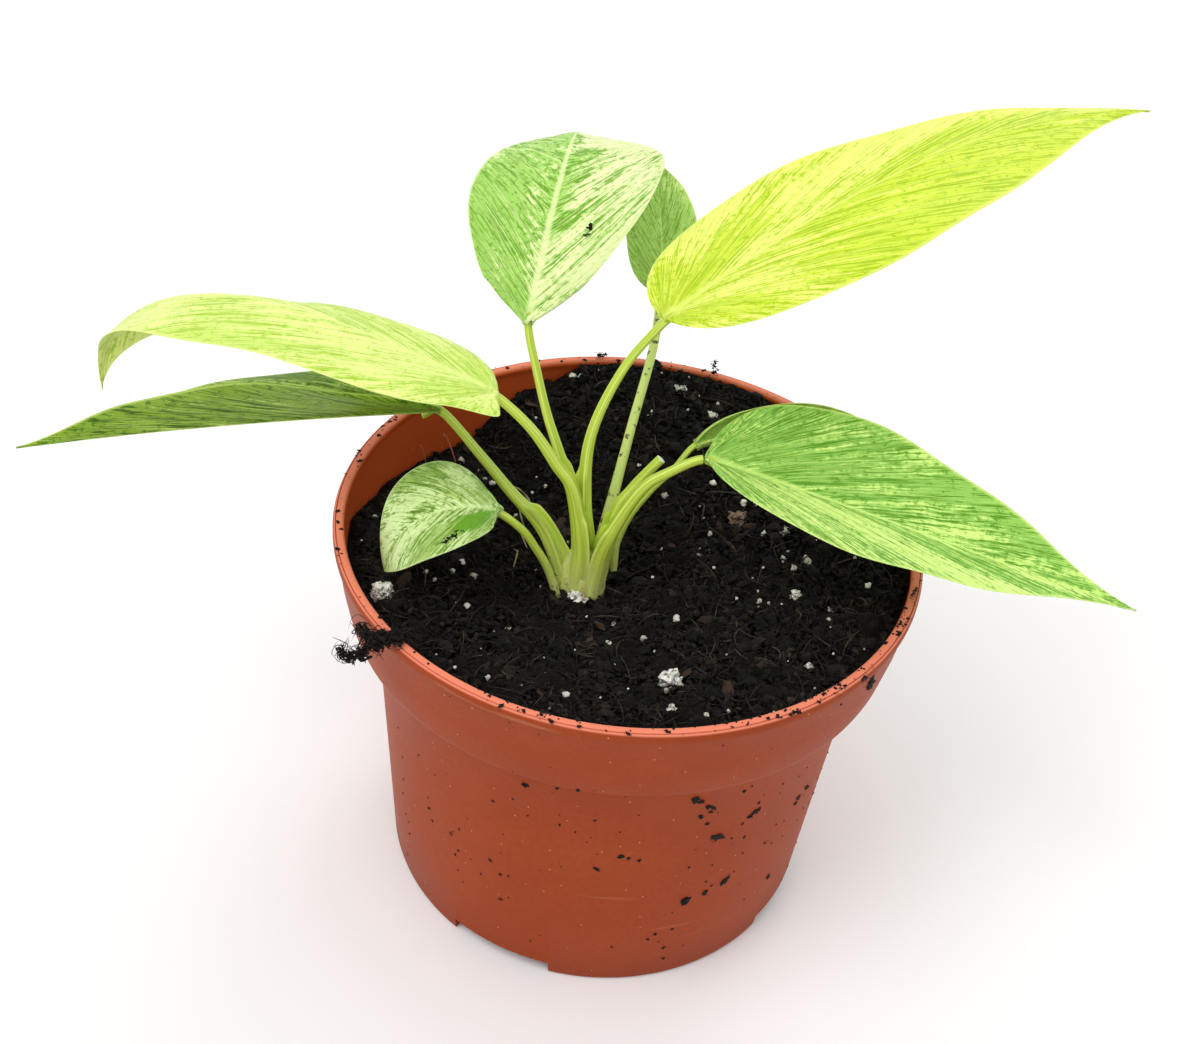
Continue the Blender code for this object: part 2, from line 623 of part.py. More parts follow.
def main():
    clear_scene()
    parts = new_collection("potted_philodendron")
    cutters = new_collection("cutters", hidden=True)
    build_pot(parts, cutters)
    build_soil(parts, cutters)
    build_crown(parts)
    build_roots(parts)
    build_petioles(parts)
    build_leaves(parts)
    build_grains(parts)
    build_crumbs(parts)
    build_fibres(parts)


if __name__ == "__main__":
    main()
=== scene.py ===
"""A young variegated philodendron in a terracotta-coloured nursery pot.

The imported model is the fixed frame. This file, laid out as an add-on, models the fine surfaces
round it: fluted petioles, streaked leaves, loose potting mix and the moulded pot.
Units are metres, +Z is up, and the front of the plant faces -Y.
"""

import math
import bpy
import numpy as np
from bpy.props import FloatProperty, FloatVectorProperty, IntProperty, PointerProperty
from mathutils import Matrix, Vector, noise


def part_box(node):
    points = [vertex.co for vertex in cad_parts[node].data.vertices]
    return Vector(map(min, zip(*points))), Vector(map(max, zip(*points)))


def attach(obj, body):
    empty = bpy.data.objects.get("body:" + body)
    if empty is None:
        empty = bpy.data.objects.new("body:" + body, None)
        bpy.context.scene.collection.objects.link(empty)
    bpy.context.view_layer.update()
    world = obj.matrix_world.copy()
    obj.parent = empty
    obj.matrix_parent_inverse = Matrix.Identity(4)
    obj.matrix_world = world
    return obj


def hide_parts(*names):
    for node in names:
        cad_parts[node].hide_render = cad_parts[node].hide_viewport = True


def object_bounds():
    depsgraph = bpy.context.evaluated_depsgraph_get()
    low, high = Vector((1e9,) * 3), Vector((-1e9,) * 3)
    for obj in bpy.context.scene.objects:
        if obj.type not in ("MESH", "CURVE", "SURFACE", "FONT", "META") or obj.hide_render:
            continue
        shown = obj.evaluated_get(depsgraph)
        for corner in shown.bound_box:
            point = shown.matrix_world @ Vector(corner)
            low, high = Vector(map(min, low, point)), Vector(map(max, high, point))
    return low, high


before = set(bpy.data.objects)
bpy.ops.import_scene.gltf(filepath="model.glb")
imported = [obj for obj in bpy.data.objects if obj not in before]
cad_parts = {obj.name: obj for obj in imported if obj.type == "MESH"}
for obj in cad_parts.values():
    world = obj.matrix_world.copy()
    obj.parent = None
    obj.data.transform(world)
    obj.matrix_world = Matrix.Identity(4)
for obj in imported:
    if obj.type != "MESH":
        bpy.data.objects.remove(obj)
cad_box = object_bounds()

bl_info = {
    "name": "Potted Philodendron",
    "version": (1, 0, 0),
    "blender": (4, 5, 0),
    "location": "View3D > Sidebar > Plant",
    "description": "Models a variegated philodendron in a nursery pot, with its potting mix",
    "category": "Add Mesh",
}

ROOT = "root"

# The camera looks down on the plant from the front, tipped a little to one side
CAMERA_PLACE = (0.0, -0.2692, 0.3080)
CAMERA_FORWARD = (-0.0204, 0.7747, -0.6320)
CAMERA_ROLL = 5.95
CAMERA_LENS = 51.4


def mm(*values):
    """Lengths and points in millimetres, as metres."""
    return tuple(mm(*value) if isinstance(value, tuple) else value / 1000 for value in values)


# Pot sizes that aren't read from the frame
LIP_WIDTH = 0.0024
LIP_HEIGHT = 0.0024
COLLAR_FOOT = (0.0570, 0.0710)
SHOULDER = (0.0514, 0.0668)
WALL = 0.0013
FLOOR_TOP = 0.0053
FLOOR_UNDERSIDE = 0.0040
PAD_RADIUS = 0.0150
FOOT_RING_WIDTH = 0.0030
BASE_RADIUS = 0.0470
NOTCH_BEARING = -111.5
NOTCH_SIZE = (0.0120, 0.0230, 0.0072)
DRAIN_CIRCLE = 0.0300
DRAIN_RADIUS = 0.0030
POT_SIDES = 160

# Height of the soil's edge at a few bearings round the pot, in degrees from +X
SOIL_EDGE = (
    (-180, 0.0810), (-137, 0.0815), (-90, 0.0830), (-30, 0.0850), (30, 0.0870), (60, 0.0885),
    (85, 0.0893), (103, 0.0890), (116, 0.0835), (137, 0.0745), (165, 0.0770), (180, 0.0810),
)
SOIL_CENTRE_HEIGHT = 0.0772

# Leaves, as in the frame: base, heading of the midrib (yaw, pitch) and its turn by the tip
# (sweep, droop, late), bank (roll, twist), rise of the halves (fold at base and tip, cup left
# and right), size, outline powers, lobe and offset. Some have an ear at the left of the base
# (auricle), a tip drawn in more or less (drawn) or a base that widens slowly (funnel). waves are
# the height and number of the margin's waves. Then the finish: three colours from pale to deep,
# how green it is, the bias of its left half and of its tip, a seed, and a clear green patch: its
# place along and across, its length and its width.
LEAVES = {
    "leaf_upper_left": dict(
        base=(-0.0278, -0.0075, 0.1230), yaw=172, pitch=17, length=0.1075, width=0.0408,
        sweep=-15, droop=105, late=2.0, roll=9, twist=13, fold=(13, -13), cup=(-27, -38),
        shape=(0.66, 1.1), lobe=0.042, offset=-0.07, auricle=0.05, drawn=0.55,
        waves=(0.0005, 3.0), slot="leaf_pale",
        pale=(226, 242, 142), green=(200, 228, 106), deep=(160, 196, 58),
        cover=0.44, left=-0.02, tip=-0.10, seed=1.0,
    ),
    "leaf_lower_left": dict(
        base=(-0.0413, 0.0098, 0.1053), yaw=199, pitch=1, length=0.084, width=0.0307,
        sweep=-10, droop=13, late=1.2, roll=7, twist=28, fold=(20, 49), cup=(26, -24),
        shape=(0.65, 1.3), lobe=0.033, offset=-0.02, waves=(0.0004, 2.5), slot="leaf_green",
        pale=(204, 232, 122), green=(132, 166, 48), deep=(62, 98, 0),
        cover=0.62, left=0.14, tip=-0.05, seed=2.0,
    ),
    "leaf_small_left": dict(
        base=(-0.0256, -0.0140, 0.1001), yaw=196, pitch=20, length=0.0312, width=0.0278,
        sweep=-1, droop=112, late=1.1, roll=0, twist=-16, fold=(8, 7), cup=(4, -21),
        shape=(0.64, 1.0), lobe=0.013, offset=-0.06, drawn=0.0, funnel=0.12,
        waves=(0.0002, 2.0), slot="leaf_pale",
        pale=(218, 240, 170), green=(170, 200, 108), deep=(92, 136, 26),
        cover=0.46, left=0.06, tip=-0.08, seed=3.0, patch=(0.48, -0.38, 0.17, 0.32),
    ),
    "leaf_upright": dict(
        base=(-0.0247, 0.0122, 0.1264), yaw=84, pitch=44, length=0.0622, width=0.0405,
        sweep=5, droop=70, late=1.3, roll=-18, twist=20, fold=(6, -12), cup=(-12, 18),
        shape=(0.66, 0.52), lobe=0.012, offset=-0.04, funnel=0.17, drawn=0.0,
        waves=(0.0003, 2.5), slot="leaf_pale",
        pale=(232, 244, 176), green=(162, 208, 98), deep=(108, 158, 40),
        cover=0.49, left=0.22, tip=0.0, seed=4.0,
    ),
    "leaf_tall_right": dict(
        base=(0.0016, 0.0031, 0.1369), yaw=37, pitch=26, length=0.1204, width=0.0433,
        sweep=-5, droop=37, late=1.5, roll=-19, twist=21, fold=(10, -11), cup=(-1, -26),
        shape=(0.48, 1.25), lobe=0.026, offset=-0.01, waves=(0.0004, 3.0), slot="leaf_lime",
        pale=(232, 242, 118), green=(204, 226, 58), deep=(160, 192, 4),
        cover=0.50, left=-0.10, tip=0.02, seed=5.0,
    ),
    "leaf_back": dict(
        base=(0.0008, 0.0340, 0.1235), yaw=98, pitch=52, length=0.031, width=0.0155,
        sweep=10, droop=30, late=1.3, roll=0, twist=0, fold=(12, 8), cup=(0, 0),
        shape=(0.6, 1.0), lobe=0.03, offset=0.0, waves=(0.0002, 2.0), slot="leaf_green",
        pale=(214, 244, 150), green=(180, 222, 118), deep=(130, 172, 64),
        cover=0.62, left=0.0, tip=0.0, seed=6.0,
    ),
    "leaf_low_right": dict(
        base=(0.0132, -0.0064, 0.1130), yaw=0, pitch=-15, length=0.0907, width=0.0409,
        sweep=-6, droop=-3, late=1.2, roll=2, twist=2, fold=(22, 18), cup=(8, -6),
        shape=(0.54, 1.23), lobe=0.0, offset=-0.05, waves=(0.0004, 3.0), slot="leaf_green",
        pale=(216, 248, 138), green=(150, 202, 92), deep=(96, 152, 36),
        cover=0.49, left=0.07, tip=0.0, seed=7.0,
    ),
    "leaf_curled": dict(
        base=(0.0115, 0.0070, 0.1060), yaw=24, pitch=10, length=0.044, width=0.0135,
        sweep=-8, droop=30, late=1.1, roll=25, twist=0, fold=(45, 55), cup=(45, 45),
        shape=(0.7, 1.1), lobe=0.01, offset=0.0, waves=(0.0002, 2.0), slot="leaf_green",
        # Painted light: these colours are lighter than the leaf's own, to offset the shade on its
        # curled underside.
        pale=(226, 246, 150), green=(186, 218, 108), deep=(134, 172, 66),
        cover=0.66, left=0.0, tip=0.0, seed=8.0,
    ),
}
BLADE_COLUMNS = 56
BLADE_ROWS = 130
ROW_CROWDING = 1.25
COLUMN_CROWDING = 1.1
VEIN_LEAN = 3.4
RIPPLES = 16
RIPPLE_HEIGHT = 0.00009
CREASE_DEPTH = 0.0003
CREASE_WIDTH = 0.0009
MIDRIB_STATIONS = 240
BLADE_THICKNESS = 0.0004
KEEL_THICKNESS = 0.0013
KEEL_WIDTH = 0.0008

# Petioles: route from inside the crown to the leaf, half widths at the foot and the top, how far
# up the sheath's wings reach (share of length) and their height
PETIOLES = {
    "petiole_upper_left": dict(
        route=mm((-8.8, -8.5, 75), (-9.1, -9.4, 82), (-9.1, -9.4, 90), (-11.9, -8.5, 102.8),
                 (-15.5, -8.3, 108.3), (-20.8, -7.9, 115.7)),
        foot=0.0034, top=0.0009, reach=0.42, wing=0.0009,
    ),
    "petiole_lower_left": dict(
        route=mm((-9.8, -7, 75), (-11.4, -8, 79.5), (-13.8, -7.3, 84.5), (-18, -4.1, 89.5),
                 (-24.7, -0.2, 93.8), (-31.5, 4.1, 98.6)),
        foot=0.0024, top=0.0009, reach=0.45, wing=0.0012,
    ),
    "petiole_small_left": dict(
        route=mm((-12, -10.5, 74.5), (-13.1, -11.6, 78), (-15.3, -12, 85), (-18, -12.7, 90.5),
                 (-20.8, -13.2, 95)),
        foot=0.0012, top=0.0008, reach=0.3, wing=0.0003,
    ),
    "petiole_upright": dict(
        route=mm((-8.5, -6, 77), (-9.6, -4.8, 87), (-12.2, -1.5, 96.5), (-15.9, 1.7, 104.4),
                 (-18.9, 4.7, 110.5), (-21.6, 8, 117.5)),
        foot=0.0018, top=0.0008, reach=0.5, wing=0.0008,
    ),
    "petiole_tall_right": dict(
        route=mm((-7.8, -6.8, 77), (-7.8, -6.6, 85), (-9.5, -5.7, 98.4), (-9.5, -2.9, 112.3),
                 (-4.9, 0.2, 126)),
        foot=0.0024, top=0.0008, reach=0.45, wing=0.0008,
    ),
    "petiole_back": dict(
        route=mm((-6.6, -4, 75), (-5.5, -1, 83), (-4, 5.8, 91.8), (-2, 15.6, 102.4),
                 (0.4, 26.1, 114.3)),
        foot=0.0012, top=0.0009, reach=0.1, wing=0.0002,
    ),
    "petiole_low_right": dict(
        route=mm((-6.8, -8.2, 75), (-5.8, -9.6, 83), (-4.2, -10, 92), (1.3, -8.5, 104.5),
                 (6.7, -7.5, 109.3)),
        foot=0.0032, top=0.0009, reach=0.45, wing=0.0009,
    ),
    "petiole_curled": dict(
        route=mm((-2.4, -3.6, 75), (-2.3, -2.6, 80.5), (-2.1, -1.2, 85), (-0.1, 0.9, 90.5),
                 (3.4, 2.9, 95.9), (7.4, 4.8, 100.5)),
        foot=0.0010, top=0.0006, reach=0.0, wing=0.0,
    ),
    "cut_petiole_stub": dict(
        route=mm((-6, -7.2, 76), (-4.4, -6.8, 85), (-3, -5.3, 96.3), (-0.6, -4, 100.8),
                 (2, -3, 104.6), (4.6, -2, 107.9)),
        foot=0.0020, top=0.0010, reach=0.6, wing=0.0010,
    ),
}
STALK_SIDES = 28
STALK_ROWS = 120
STALK_STATIONS = 400
CAP_SHARE = 0.015
FULL_WING = 0.0009
# How much deeper in the crown a petiole starts than its route says
FOOT_DEPTH = 0.002
# How far a petiole's top goes in under its leaf
LEAF_OVERLAP = 0.0035

# The crown: centre line with radii, and the rounded share of its length at each end
CROWN = mm(((-8.4, -6.6, 66), 5.5), ((-8.6, -7.8, 74), 5.7), ((-8.6, -8.4, 79), 5.4),
           ((-8.4, -8.4, 83.5), 4.6), ((-8.2, -8, 88), 2.4))
CROWN_CAP = 0.02
CROWN_GRID = (72, 60)

# Dry sheath fibres behind the crown
DRY_FIBRES = {
    "dry_fibre_1": mm((-26.2, 17.5, 81.2), (-24, 14, 83.2), (-21.5, 10.5, 83), (-20, 6, 80)),
    "dry_fibre_2": mm((-29, 8, 80), (-26.2, 6.5, 82.2), (-23, 3.5, 81.2), (-20.5, -0.5, 79.6)),
}

# Soil clumps on the rim: spines from the rim outwards, thickness, numbers of lumps and hairs
CLUMPS = {
    "soil_crumb_front_left": dict(
        spines=mm(((-38.5, -41.5, 91.2), (-41.7, -44.8, 91.6), (-44.3, -46.8, 91.2),
                  (-46.4, -48.8, 90.2), (-48.5, -48.8, 89.6), (-50, -47.3, 90.3)),
                  ((-42.5, -45.5, 91.5), (-45.2, -44, 91), (-47.8, -41.5, 90.8))),
        thickness=0.0019, lumps=420, hairs=230, seed=11,
    ),
    "soil_crumb_back_left": dict(
        spines=mm(((-11.8, 57.5, 90.5), (-10, 57.8, 91.2))),
        thickness=0.0009, lumps=40, hairs=16, seed=12,
    ),
    "soil_crumb_back_right": dict(
        spines=mm(((15, 56.2, 90.5), (14.8, 56.3, 92.5), (15.2, 56.3, 94))),
        thickness=0.0009, lumps=50, hairs=16, seed=13,
    ),
    "soil_crumb_right": dict(
        spines=mm(((57.2, -13.5, 90.5), (57.7, -11.5, 91.2))),
        thickness=0.0007, lumps=30, hairs=10, seed=14,
    ),
}

DRY_FIBRE_RADIUS = 0.00030
THREAD_GRID = (10, 50)

# Thin rootlets at the wall, and dry sheath scraps by the crown: route and radius
ROOTLETS = {
    "rootlet_1": mm(((-42.9, 28.3, 85), (-41.6, 28.9, 82), (-39.8, 27.6, 78)), 0.3),
    "rootlet_2": mm(((-47.7, 25.6, 83), (-47, 26.2, 81.5), (-46.2, 25.5, 78.5)), 0.22),
    "rootlet_3": mm(((-37.2, 29.6, 85), (-36.9, 30.8, 82.8), (-36.7, 32, 79)), 0.2),
}
SCRAPS = {
    "sheath_scrap_1": mm(((-28.2, 13.8, 83.5), (-25.9, 12.1, 84.2), (-24.1, 9.5, 83.4),
                         (-22.7, 5.9, 82.4), (-21.5, 5.3, 79)), 0.3),
    "sheath_scrap_2": mm(((-23.1, -1.1, 79.5), (-22.1, -5.4, 82.2), (-22.7, -7.9, 79)), 0.24),
    "sheath_scrap_3": mm(((-5.1, 1, 85), (-3.8, -2, 81.5), (-3.4, -5.2, 77.5)), 0.6),
}

# Soil scraps on the leaves: leaf, place across and along it, spread, number and size
LEAF_SCRAPS = (
    ("leaf_upright", 0.70, 0.66, 0.012, 9, 0.00032),
    ("leaf_small_left", 0.14, 0.52, 0.030, 22, 0.00026),
)

# Dirt stuck to the pot's outside: bearing in degrees, height and size
POT_SPECKS = (
    (-68.2, 0.0616, 0.0008), (-64.7, 0.0584, 0.0006), (-65.9, 0.0556, 0.0006),
    (-60.4, 0.0472, 0.0010), (-50.8, 0.0509, 0.0007), (-52.0, 0.0500, 0.0006),
    (-49.7, 0.0512, 0.0005), (-29.9, 0.0446, 0.0007), (-33.5, 0.0441, 0.0006),
    (-64.7, 0.0270, 0.0011), (-59.7, 0.0278, 0.0007), (-54.3, 0.0297, 0.0008),
    (-36.1, 0.0188, 0.0006), (-82.8, 0.0448, 0.0006), (-81.1, 0.0442, 0.0004),
    (-88.1, 0.0401, 0.0005), (-93.7, 0.0705, 0.0004), (-105.9, 0.0617, 0.0006),
    (-66.7, 0.0606, 0.0006), (-63.3, 0.0576, 0.0005), (-63.9, 0.0527, 0.0004),
    (-63.6, 0.0564, 0.0004), (-38.3, 0.0890, 0.0009), (-34.2, 0.0875, 0.0010),
    (-32.7, 0.0826, 0.0012), (-34.0, 0.0850, 0.0009), (-78.5, 0.0434, 0.0004),
    (-33.5, 0.0835, 0.0010), (-34.2, 0.0427, 0.0005), (-56.0, 0.0600, 0.0004),
)
WALL_SPECKS = 170
LIP_SPECKS = 260
DIRTY_BEARINGS = (-103.0, -58.0, -44.0, -20.0, 150.0)
STUCK_OUT = 0.00002

# The soil bed's grid, and its noise: size of the largest lumps, octaves and seed
SOIL_GRID = (340, 170)
SOIL_LUMPS = (0.0065, 5, 3.0)
SOIL_TUFTS = (0.0022, 3, 8.0)
SOIL_REACH = 0.985
BARK_CHIPS = 50
PERLITE_BITS = 170
PEBBLE_FACES = 48

# The lamps and the floor
LAMP_AIM = (0, 0, 0.08)
LAMP_SIZE = 0.5
KEY_PLACE = (-0.35, -0.35, 0.85)
BACK_PLACE = (0.30, 0.60, 0.70)
BACK_SHARE = 0.5
FLOOR_SIZE = 6.0


def rgb(red, green, blue):
    """An sRGB colour, from 0 to 255, as the linear colour that a shader takes."""
    parts = [part / 255 for part in (red, green, blue)]
    return tuple(p / 12.92 if p <= 0.04045 else ((p + 0.055) / 1.055) ** 2.4 for p in parts)


# -------- shader building


def arithmetic(operation, swapped=False):
    """A method of Value for one operator, or for its reflected form."""
    def method(self, other):
        return self.math(operation, *((other, self) if swapped else (self, other)))
    return method


class Value:
    """A socket's output that takes arithmetic: each operator adds a Math node."""

    __add__ = arithmetic("ADD")
    __radd__ = arithmetic("ADD", swapped=True)
    __sub__ = arithmetic("SUBTRACT")
    __rsub__ = arithmetic("SUBTRACT", swapped=True)
    __mul__ = arithmetic("MULTIPLY")
    __rmul__ = arithmetic("MULTIPLY", swapped=True)
    __truediv__ = arithmetic("DIVIDE")
    __pow__ = arithmetic("POWER")

    def __init__(self, finish, socket):
        self.finish = finish
        self.socket = socket

    def math(self, operation, *values):
        inputs = dict(enumerate(values))
        return self.finish.node("ShaderNodeMath", {"operation": operation}, inputs)

    def size(self):
        return self.math("ABSOLUTE", self)

    def above(self, low, high):
        """0 below low, 1 above high, and smooth between."""
        settings = {"interpolation_type": "SMOOTHSTEP"}
        return self.finish.node("ShaderNodeMapRange", settings, {0: self, 1: low, 2: high})


class Finish:
    """A material whose Principled shader is built up from nodes."""

    def __init__(self, name, **constants):
        self.material = bpy.data.materials.new(name)
        self.material.use_nodes = True
        self.tree = self.material.node_tree
        self.tree.nodes.clear()
        output = self.tree.nodes.new("ShaderNodeOutputMaterial")
        self.shader = self.tree.nodes.new("ShaderNodeBsdfPrincipled")
        self.tree.links.new(self.shader.outputs[0], output.inputs[0])
        self.colour = None
        for socket, value in constants.items():
            self.set(socket.replace("_", " ").title().replace("Ior", "IOR"), value)

    def set(self, socket, value):
        self.fill(self.shader.inputs[socket], value)

    def fill(self, socket, value):
        if isinstance(value, Value):
            self.tree.links.new(value.socket, socket)
        elif socket.type == "RGBA" and len(value) == 3:
            socket.default_value = (*value, 1.0)
        else:
            socket.default_value = value

    def node(self, kind, settings=None, inputs=None, output=0):
        """Adds a node, sets its settings, fills its sockets and returns one output."""
        node = self.tree.nodes.new(kind)
        for name, value in (settings or {}).items():
            if name == "stops":
                self.set_stops(node.color_ramp, value)
            else:
                setattr(node, name, value)
        for key, value in (inputs or {}).items():
            self.fill(node.inputs[key], value)
        return Value(self, node.outputs[output])

    @staticmethod
    def set_stops(ramp, stops):
        while len(ramp.elements) < len(stops):
            ramp.elements.new(1.0)
        for element, (place, colour) in zip(ramp.elements, stops):
            element.position = place
            element.color = (*colour, 1.0)

    def object_place(self):
        return self.node("ShaderNodeTexCoord", output="Object")

    def uv(self):
        return self.node("ShaderNodeTexCoord", output="UV")

    def split(self, vector):
        separate = self.node("ShaderNodeSeparateXYZ", None, {0: vector})
        return [Value(self, socket) for socket in separate.socket.node.outputs]

    def join(self, x, y, z):
        return self.node("ShaderNodeCombineXYZ", None, {0: x, 1: y, 2: z})

    def noise(self, vector, scale, detail=2.0, rough=0.5):
        inputs = {"Vector": vector, "Scale": scale, "Detail": detail, "Roughness": rough}
        return self.node("ShaderNodeTexNoise", None, inputs)

    def cells(self, vector, scale):
        return self.node("ShaderNodeTexVoronoi", None, {"Vector": vector, "Scale": scale})

    def mix(self, factor, first, second):
        settings = {"data_type": "RGBA"}
        return self.node("ShaderNodeMix", settings, {0: factor, 6: first, 7: second}, 2)

    def cover(self, mask, colour):
        """Lays a colour over the finish's colour so far, where mask is 1."""
        self.colour = self.mix(mask, self.colour, colour)

    def done(self, roughness, height, distance, strength):
        """Links the colour, the roughness and the bump, and returns the material."""
        self.set("Base Color", self.colour)
        self.set("Roughness", roughness)
        inputs = {"Height": height, "Distance": distance, "Strength": strength}
        self.set("Normal", self.node("ShaderNodeBump", None, inputs))
        return self.material


# -------- modelling helpers


def start_mesh(name):
    """Names the primitive that was just added."""
    obj = bpy.context.object
    obj.name = name
    obj.data.name = name
    return obj


def select_only(obj):
    bpy.ops.object.select_all(action="DESELECT")
    obj.select_set(True)
    bpy.context.view_layer.objects.active = obj


def in_edit_mode(obj, *steps):
    """Runs mesh operators on all of obj. Each step is (operator, its settings)."""
    select_only(obj)
    bpy.ops.object.mode_set(mode="EDIT")
    bpy.ops.mesh.select_all(action="SELECT")
    for operator, settings in steps:
        operator(**settings)
    bpy.ops.object.mode_set(mode="OBJECT")


def apply_modifier(obj, kind, **settings):
    select_only(obj)
    modifier = obj.modifiers.new(kind.title(), kind)
    for name, value in settings.items():
        setattr(modifier, name, value)
    bpy.ops.object.modifier_apply(modifier=modifier.name)


def points_of(obj):
    points = np.empty(len(obj.data.vertices) * 3)
    obj.data.vertices.foreach_get("co", points)
    return points.reshape(-1, 3)


def set_points(obj, points):
    obj.data.vertices.foreach_set("co", np.asarray(points, np.float32).ravel())
    obj.data.update()


def grid(name, columns, rows, place):
    """A primitive grid, each point moved to place(across, along), both from 0 to 1."""
    bpy.ops.mesh.primitive_grid_add(x_subdivisions=columns, y_subdivisions=rows, size=1.0,
                                    calc_uvs=True)
    obj = start_mesh(name)
    flat = points_of(obj) + 0.5
    set_points(obj, place(flat[:, 0], flat[:, 1]))
    return obj


WELD = (bpy.ops.mesh.remove_doubles, {"threshold": 2e-6})
FACE_OUT = (bpy.ops.mesh.normals_make_consistent, {"inside": False})


def closed_grid(name, columns, rows, place):
    """A grid rolled into a closed solid by place, with its seams welded."""
    obj = grid(name, columns, rows, place)
    in_edit_mode(obj, WELD, FACE_OUT)
    return obj


def finish_piece(obj, material, slot_name, *nodes, smooth=50):
    """Keeps the piece in the frame's box, shades it and ties it to the frame."""
    low, high = (np.array(corner) for corner in cad_box)
    set_points(obj, np.clip(points_of(obj), low, high))
    select_only(obj)
    bpy.ops.object.shade_smooth_by_angle(angle=math.radians(smooth))
    obj.data.materials.clear()
    obj.data.materials.append(material)
    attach(obj, ROOT)
    if nodes:
        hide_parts(*nodes)


def smooth_route(points, count):
    """count points, evenly spaced, on a Catmull-Rom curve through points."""
    points = np.asarray(points, float)
    ends = np.vstack([2 * points[0] - points[1], points, 2 * points[-1] - points[-2]])
    t = np.linspace(0, 1, 24, endpoint=False)[:, None]
    pieces = []
    for a, b, c, d in zip(ends, ends[1:], ends[2:], ends[3:]):
        pieces.append(0.5 * (2 * b + (c - a) * t + (2 * a - 5 * b + 4 * c - d) * t**2
                             + (3 * b - 3 * c + d - a) * t**3))
    dense = np.vstack([*pieces, points[-1:]])
    length = np.concatenate([[0], np.cumsum(np.linalg.norm(np.diff(dense, axis=0), axis=1))])
    even = np.linspace(0, length[-1], count)
    return np.stack([np.interp(even, length, dense[:, k]) for k in range(3)], axis=1)


def unit(vectors):
    return vectors / np.linalg.norm(vectors, axis=-1, keepdims=True)


def polar(radius, angle, height):
    """Points from a radius and an angle round the axis, and a height."""
    parts = np.broadcast_arrays(radius * np.cos(angle), radius * np.sin(angle), height)
    return np.stack(parts, -1)


def between(table, share):
    """Rows of table at shares from 0 to 1 of its length."""
    place = np.clip(share, 0, 1) * (len(table) - 1)
    low = np.clip(place.astype(int), 0, len(table) - 2)
    part = (place - low)[..., None]
    return table[low] * (1 - part) + table[low + 1] * part


def smoothstep(values):
    t = np.clip(values, 0, 1)
    return t * t * (3 - 2 * t)


def hump(values, width):
    return np.exp(-((values / width) ** 2))


def noise_at(points, scale, octaves, seed):
    """Fractal noise of about -1 to 1 at each point; scale is the size of the largest lumps."""
    shift = Vector((seed, 1.7 * seed, 0.3 * seed))
    return np.array([noise.fractal(Vector(p) / scale + shift, 0.9, 2.1, octaves) for p in points])


# -------- scattering many small bits


def pebble(name, subdivisions, rough, seed, stretch=(1, 1, 1)):
    """Vertices and faces of one rough lump of radius 1, an icosphere of few faces."""
    bpy.ops.mesh.primitive_ico_sphere_add(subdivisions=subdivisions, radius=1.0)
    obj = start_mesh(name)
    points = points_of(obj)
    swell = 1 + rough * noise_at(points, 0.8, 2, seed)
    set_points(obj, points * swell[:, None] * np.array(stretch))
    most = PEBBLE_FACES / len(obj.data.polygons)
    if most < 1:
        apply_modifier(obj, "DECIMATE", ratio=most)
    points = points_of(obj)
    faces = np.array([tuple(p.vertices) for p in obj.data.polygons])
    bpy.data.objects.remove(obj)
    return points, faces


def mesh_from(name, points, faces, tints):
    """A mesh object from arrays, with each face's tint in the first column of its UV map."""
    mesh = bpy.data.meshes.new(name)
    corners = faces.shape[1]
    mesh.vertices.add(len(points))
    mesh.vertices.foreach_set("co", np.asarray(points, np.float32).ravel())
    mesh.loops.add(faces.size)
    mesh.loops.foreach_set("vertex_index", faces.ravel().astype(np.int32))
    mesh.polygons.add(len(faces))
    mesh.polygons.foreach_set("loop_start", np.arange(len(faces), dtype=np.int32) * corners)
    mesh.update(calc_edges=True)
    layer = mesh.uv_layers.new(name="tint")
    tint = np.repeat(np.asarray(tints, np.float32), corners)
    layer.data.foreach_set("uv", np.stack([tint, np.full_like(tint, 0.5)], 1).ravel())
    mesh.validate()
    obj = bpy.data.objects.new(name, mesh)
    bpy.context.scene.collection.objects.link(obj)
    return obj


def random_turns(random, count, tilt=math.pi):
    """Rotation matrices: any turn about Z, and a tilt of up to tilt."""
    turn = random.uniform(0, 2 * math.pi, count)
    lean = random.uniform(-tilt, tilt, count)
    ct, st, cl, sl = np.cos(turn), np.sin(turn), np.cos(lean), np.sin(lean)
    zero = np.zeros(count)
    about_z = np.stack([ct, -st, zero, st, ct, zero, zero, zero, zero + 1], 1).reshape(-1, 3, 3)
    about_x = np.stack([zero + 1, zero, zero, zero, cl, -sl, zero, sl, cl], 1).reshape(-1, 3, 3)
    return about_z @ about_x


def strew(name, kinds, spots, sizes, turns, tints):
    """One mesh with a lump at every spot, taking the kinds in turn."""
    all_points, all_faces, all_tints, count = [], [], [], 0
    for k, (points, faces) in enumerate(kinds):
        mine = slice(k, None, len(kinds))
        place = np.einsum("nij,vj->nvi", turns[mine], points) * sizes[mine][:, None, None]
        place += spots[mine][:, None, :]
        copies = len(place)
        shift = np.arange(copies)[:, None, None] * len(points) + count
        all_points.append(place.reshape(-1, 3))
        all_faces.append((faces[None] + shift).reshape(-1, faces.shape[1]))
        all_tints.append(np.repeat(tints[mine], len(faces)))
        count += copies * len(points)
    return mesh_from(name, np.vstack(all_points), np.vstack(all_faces), np.concatenate(all_tints))


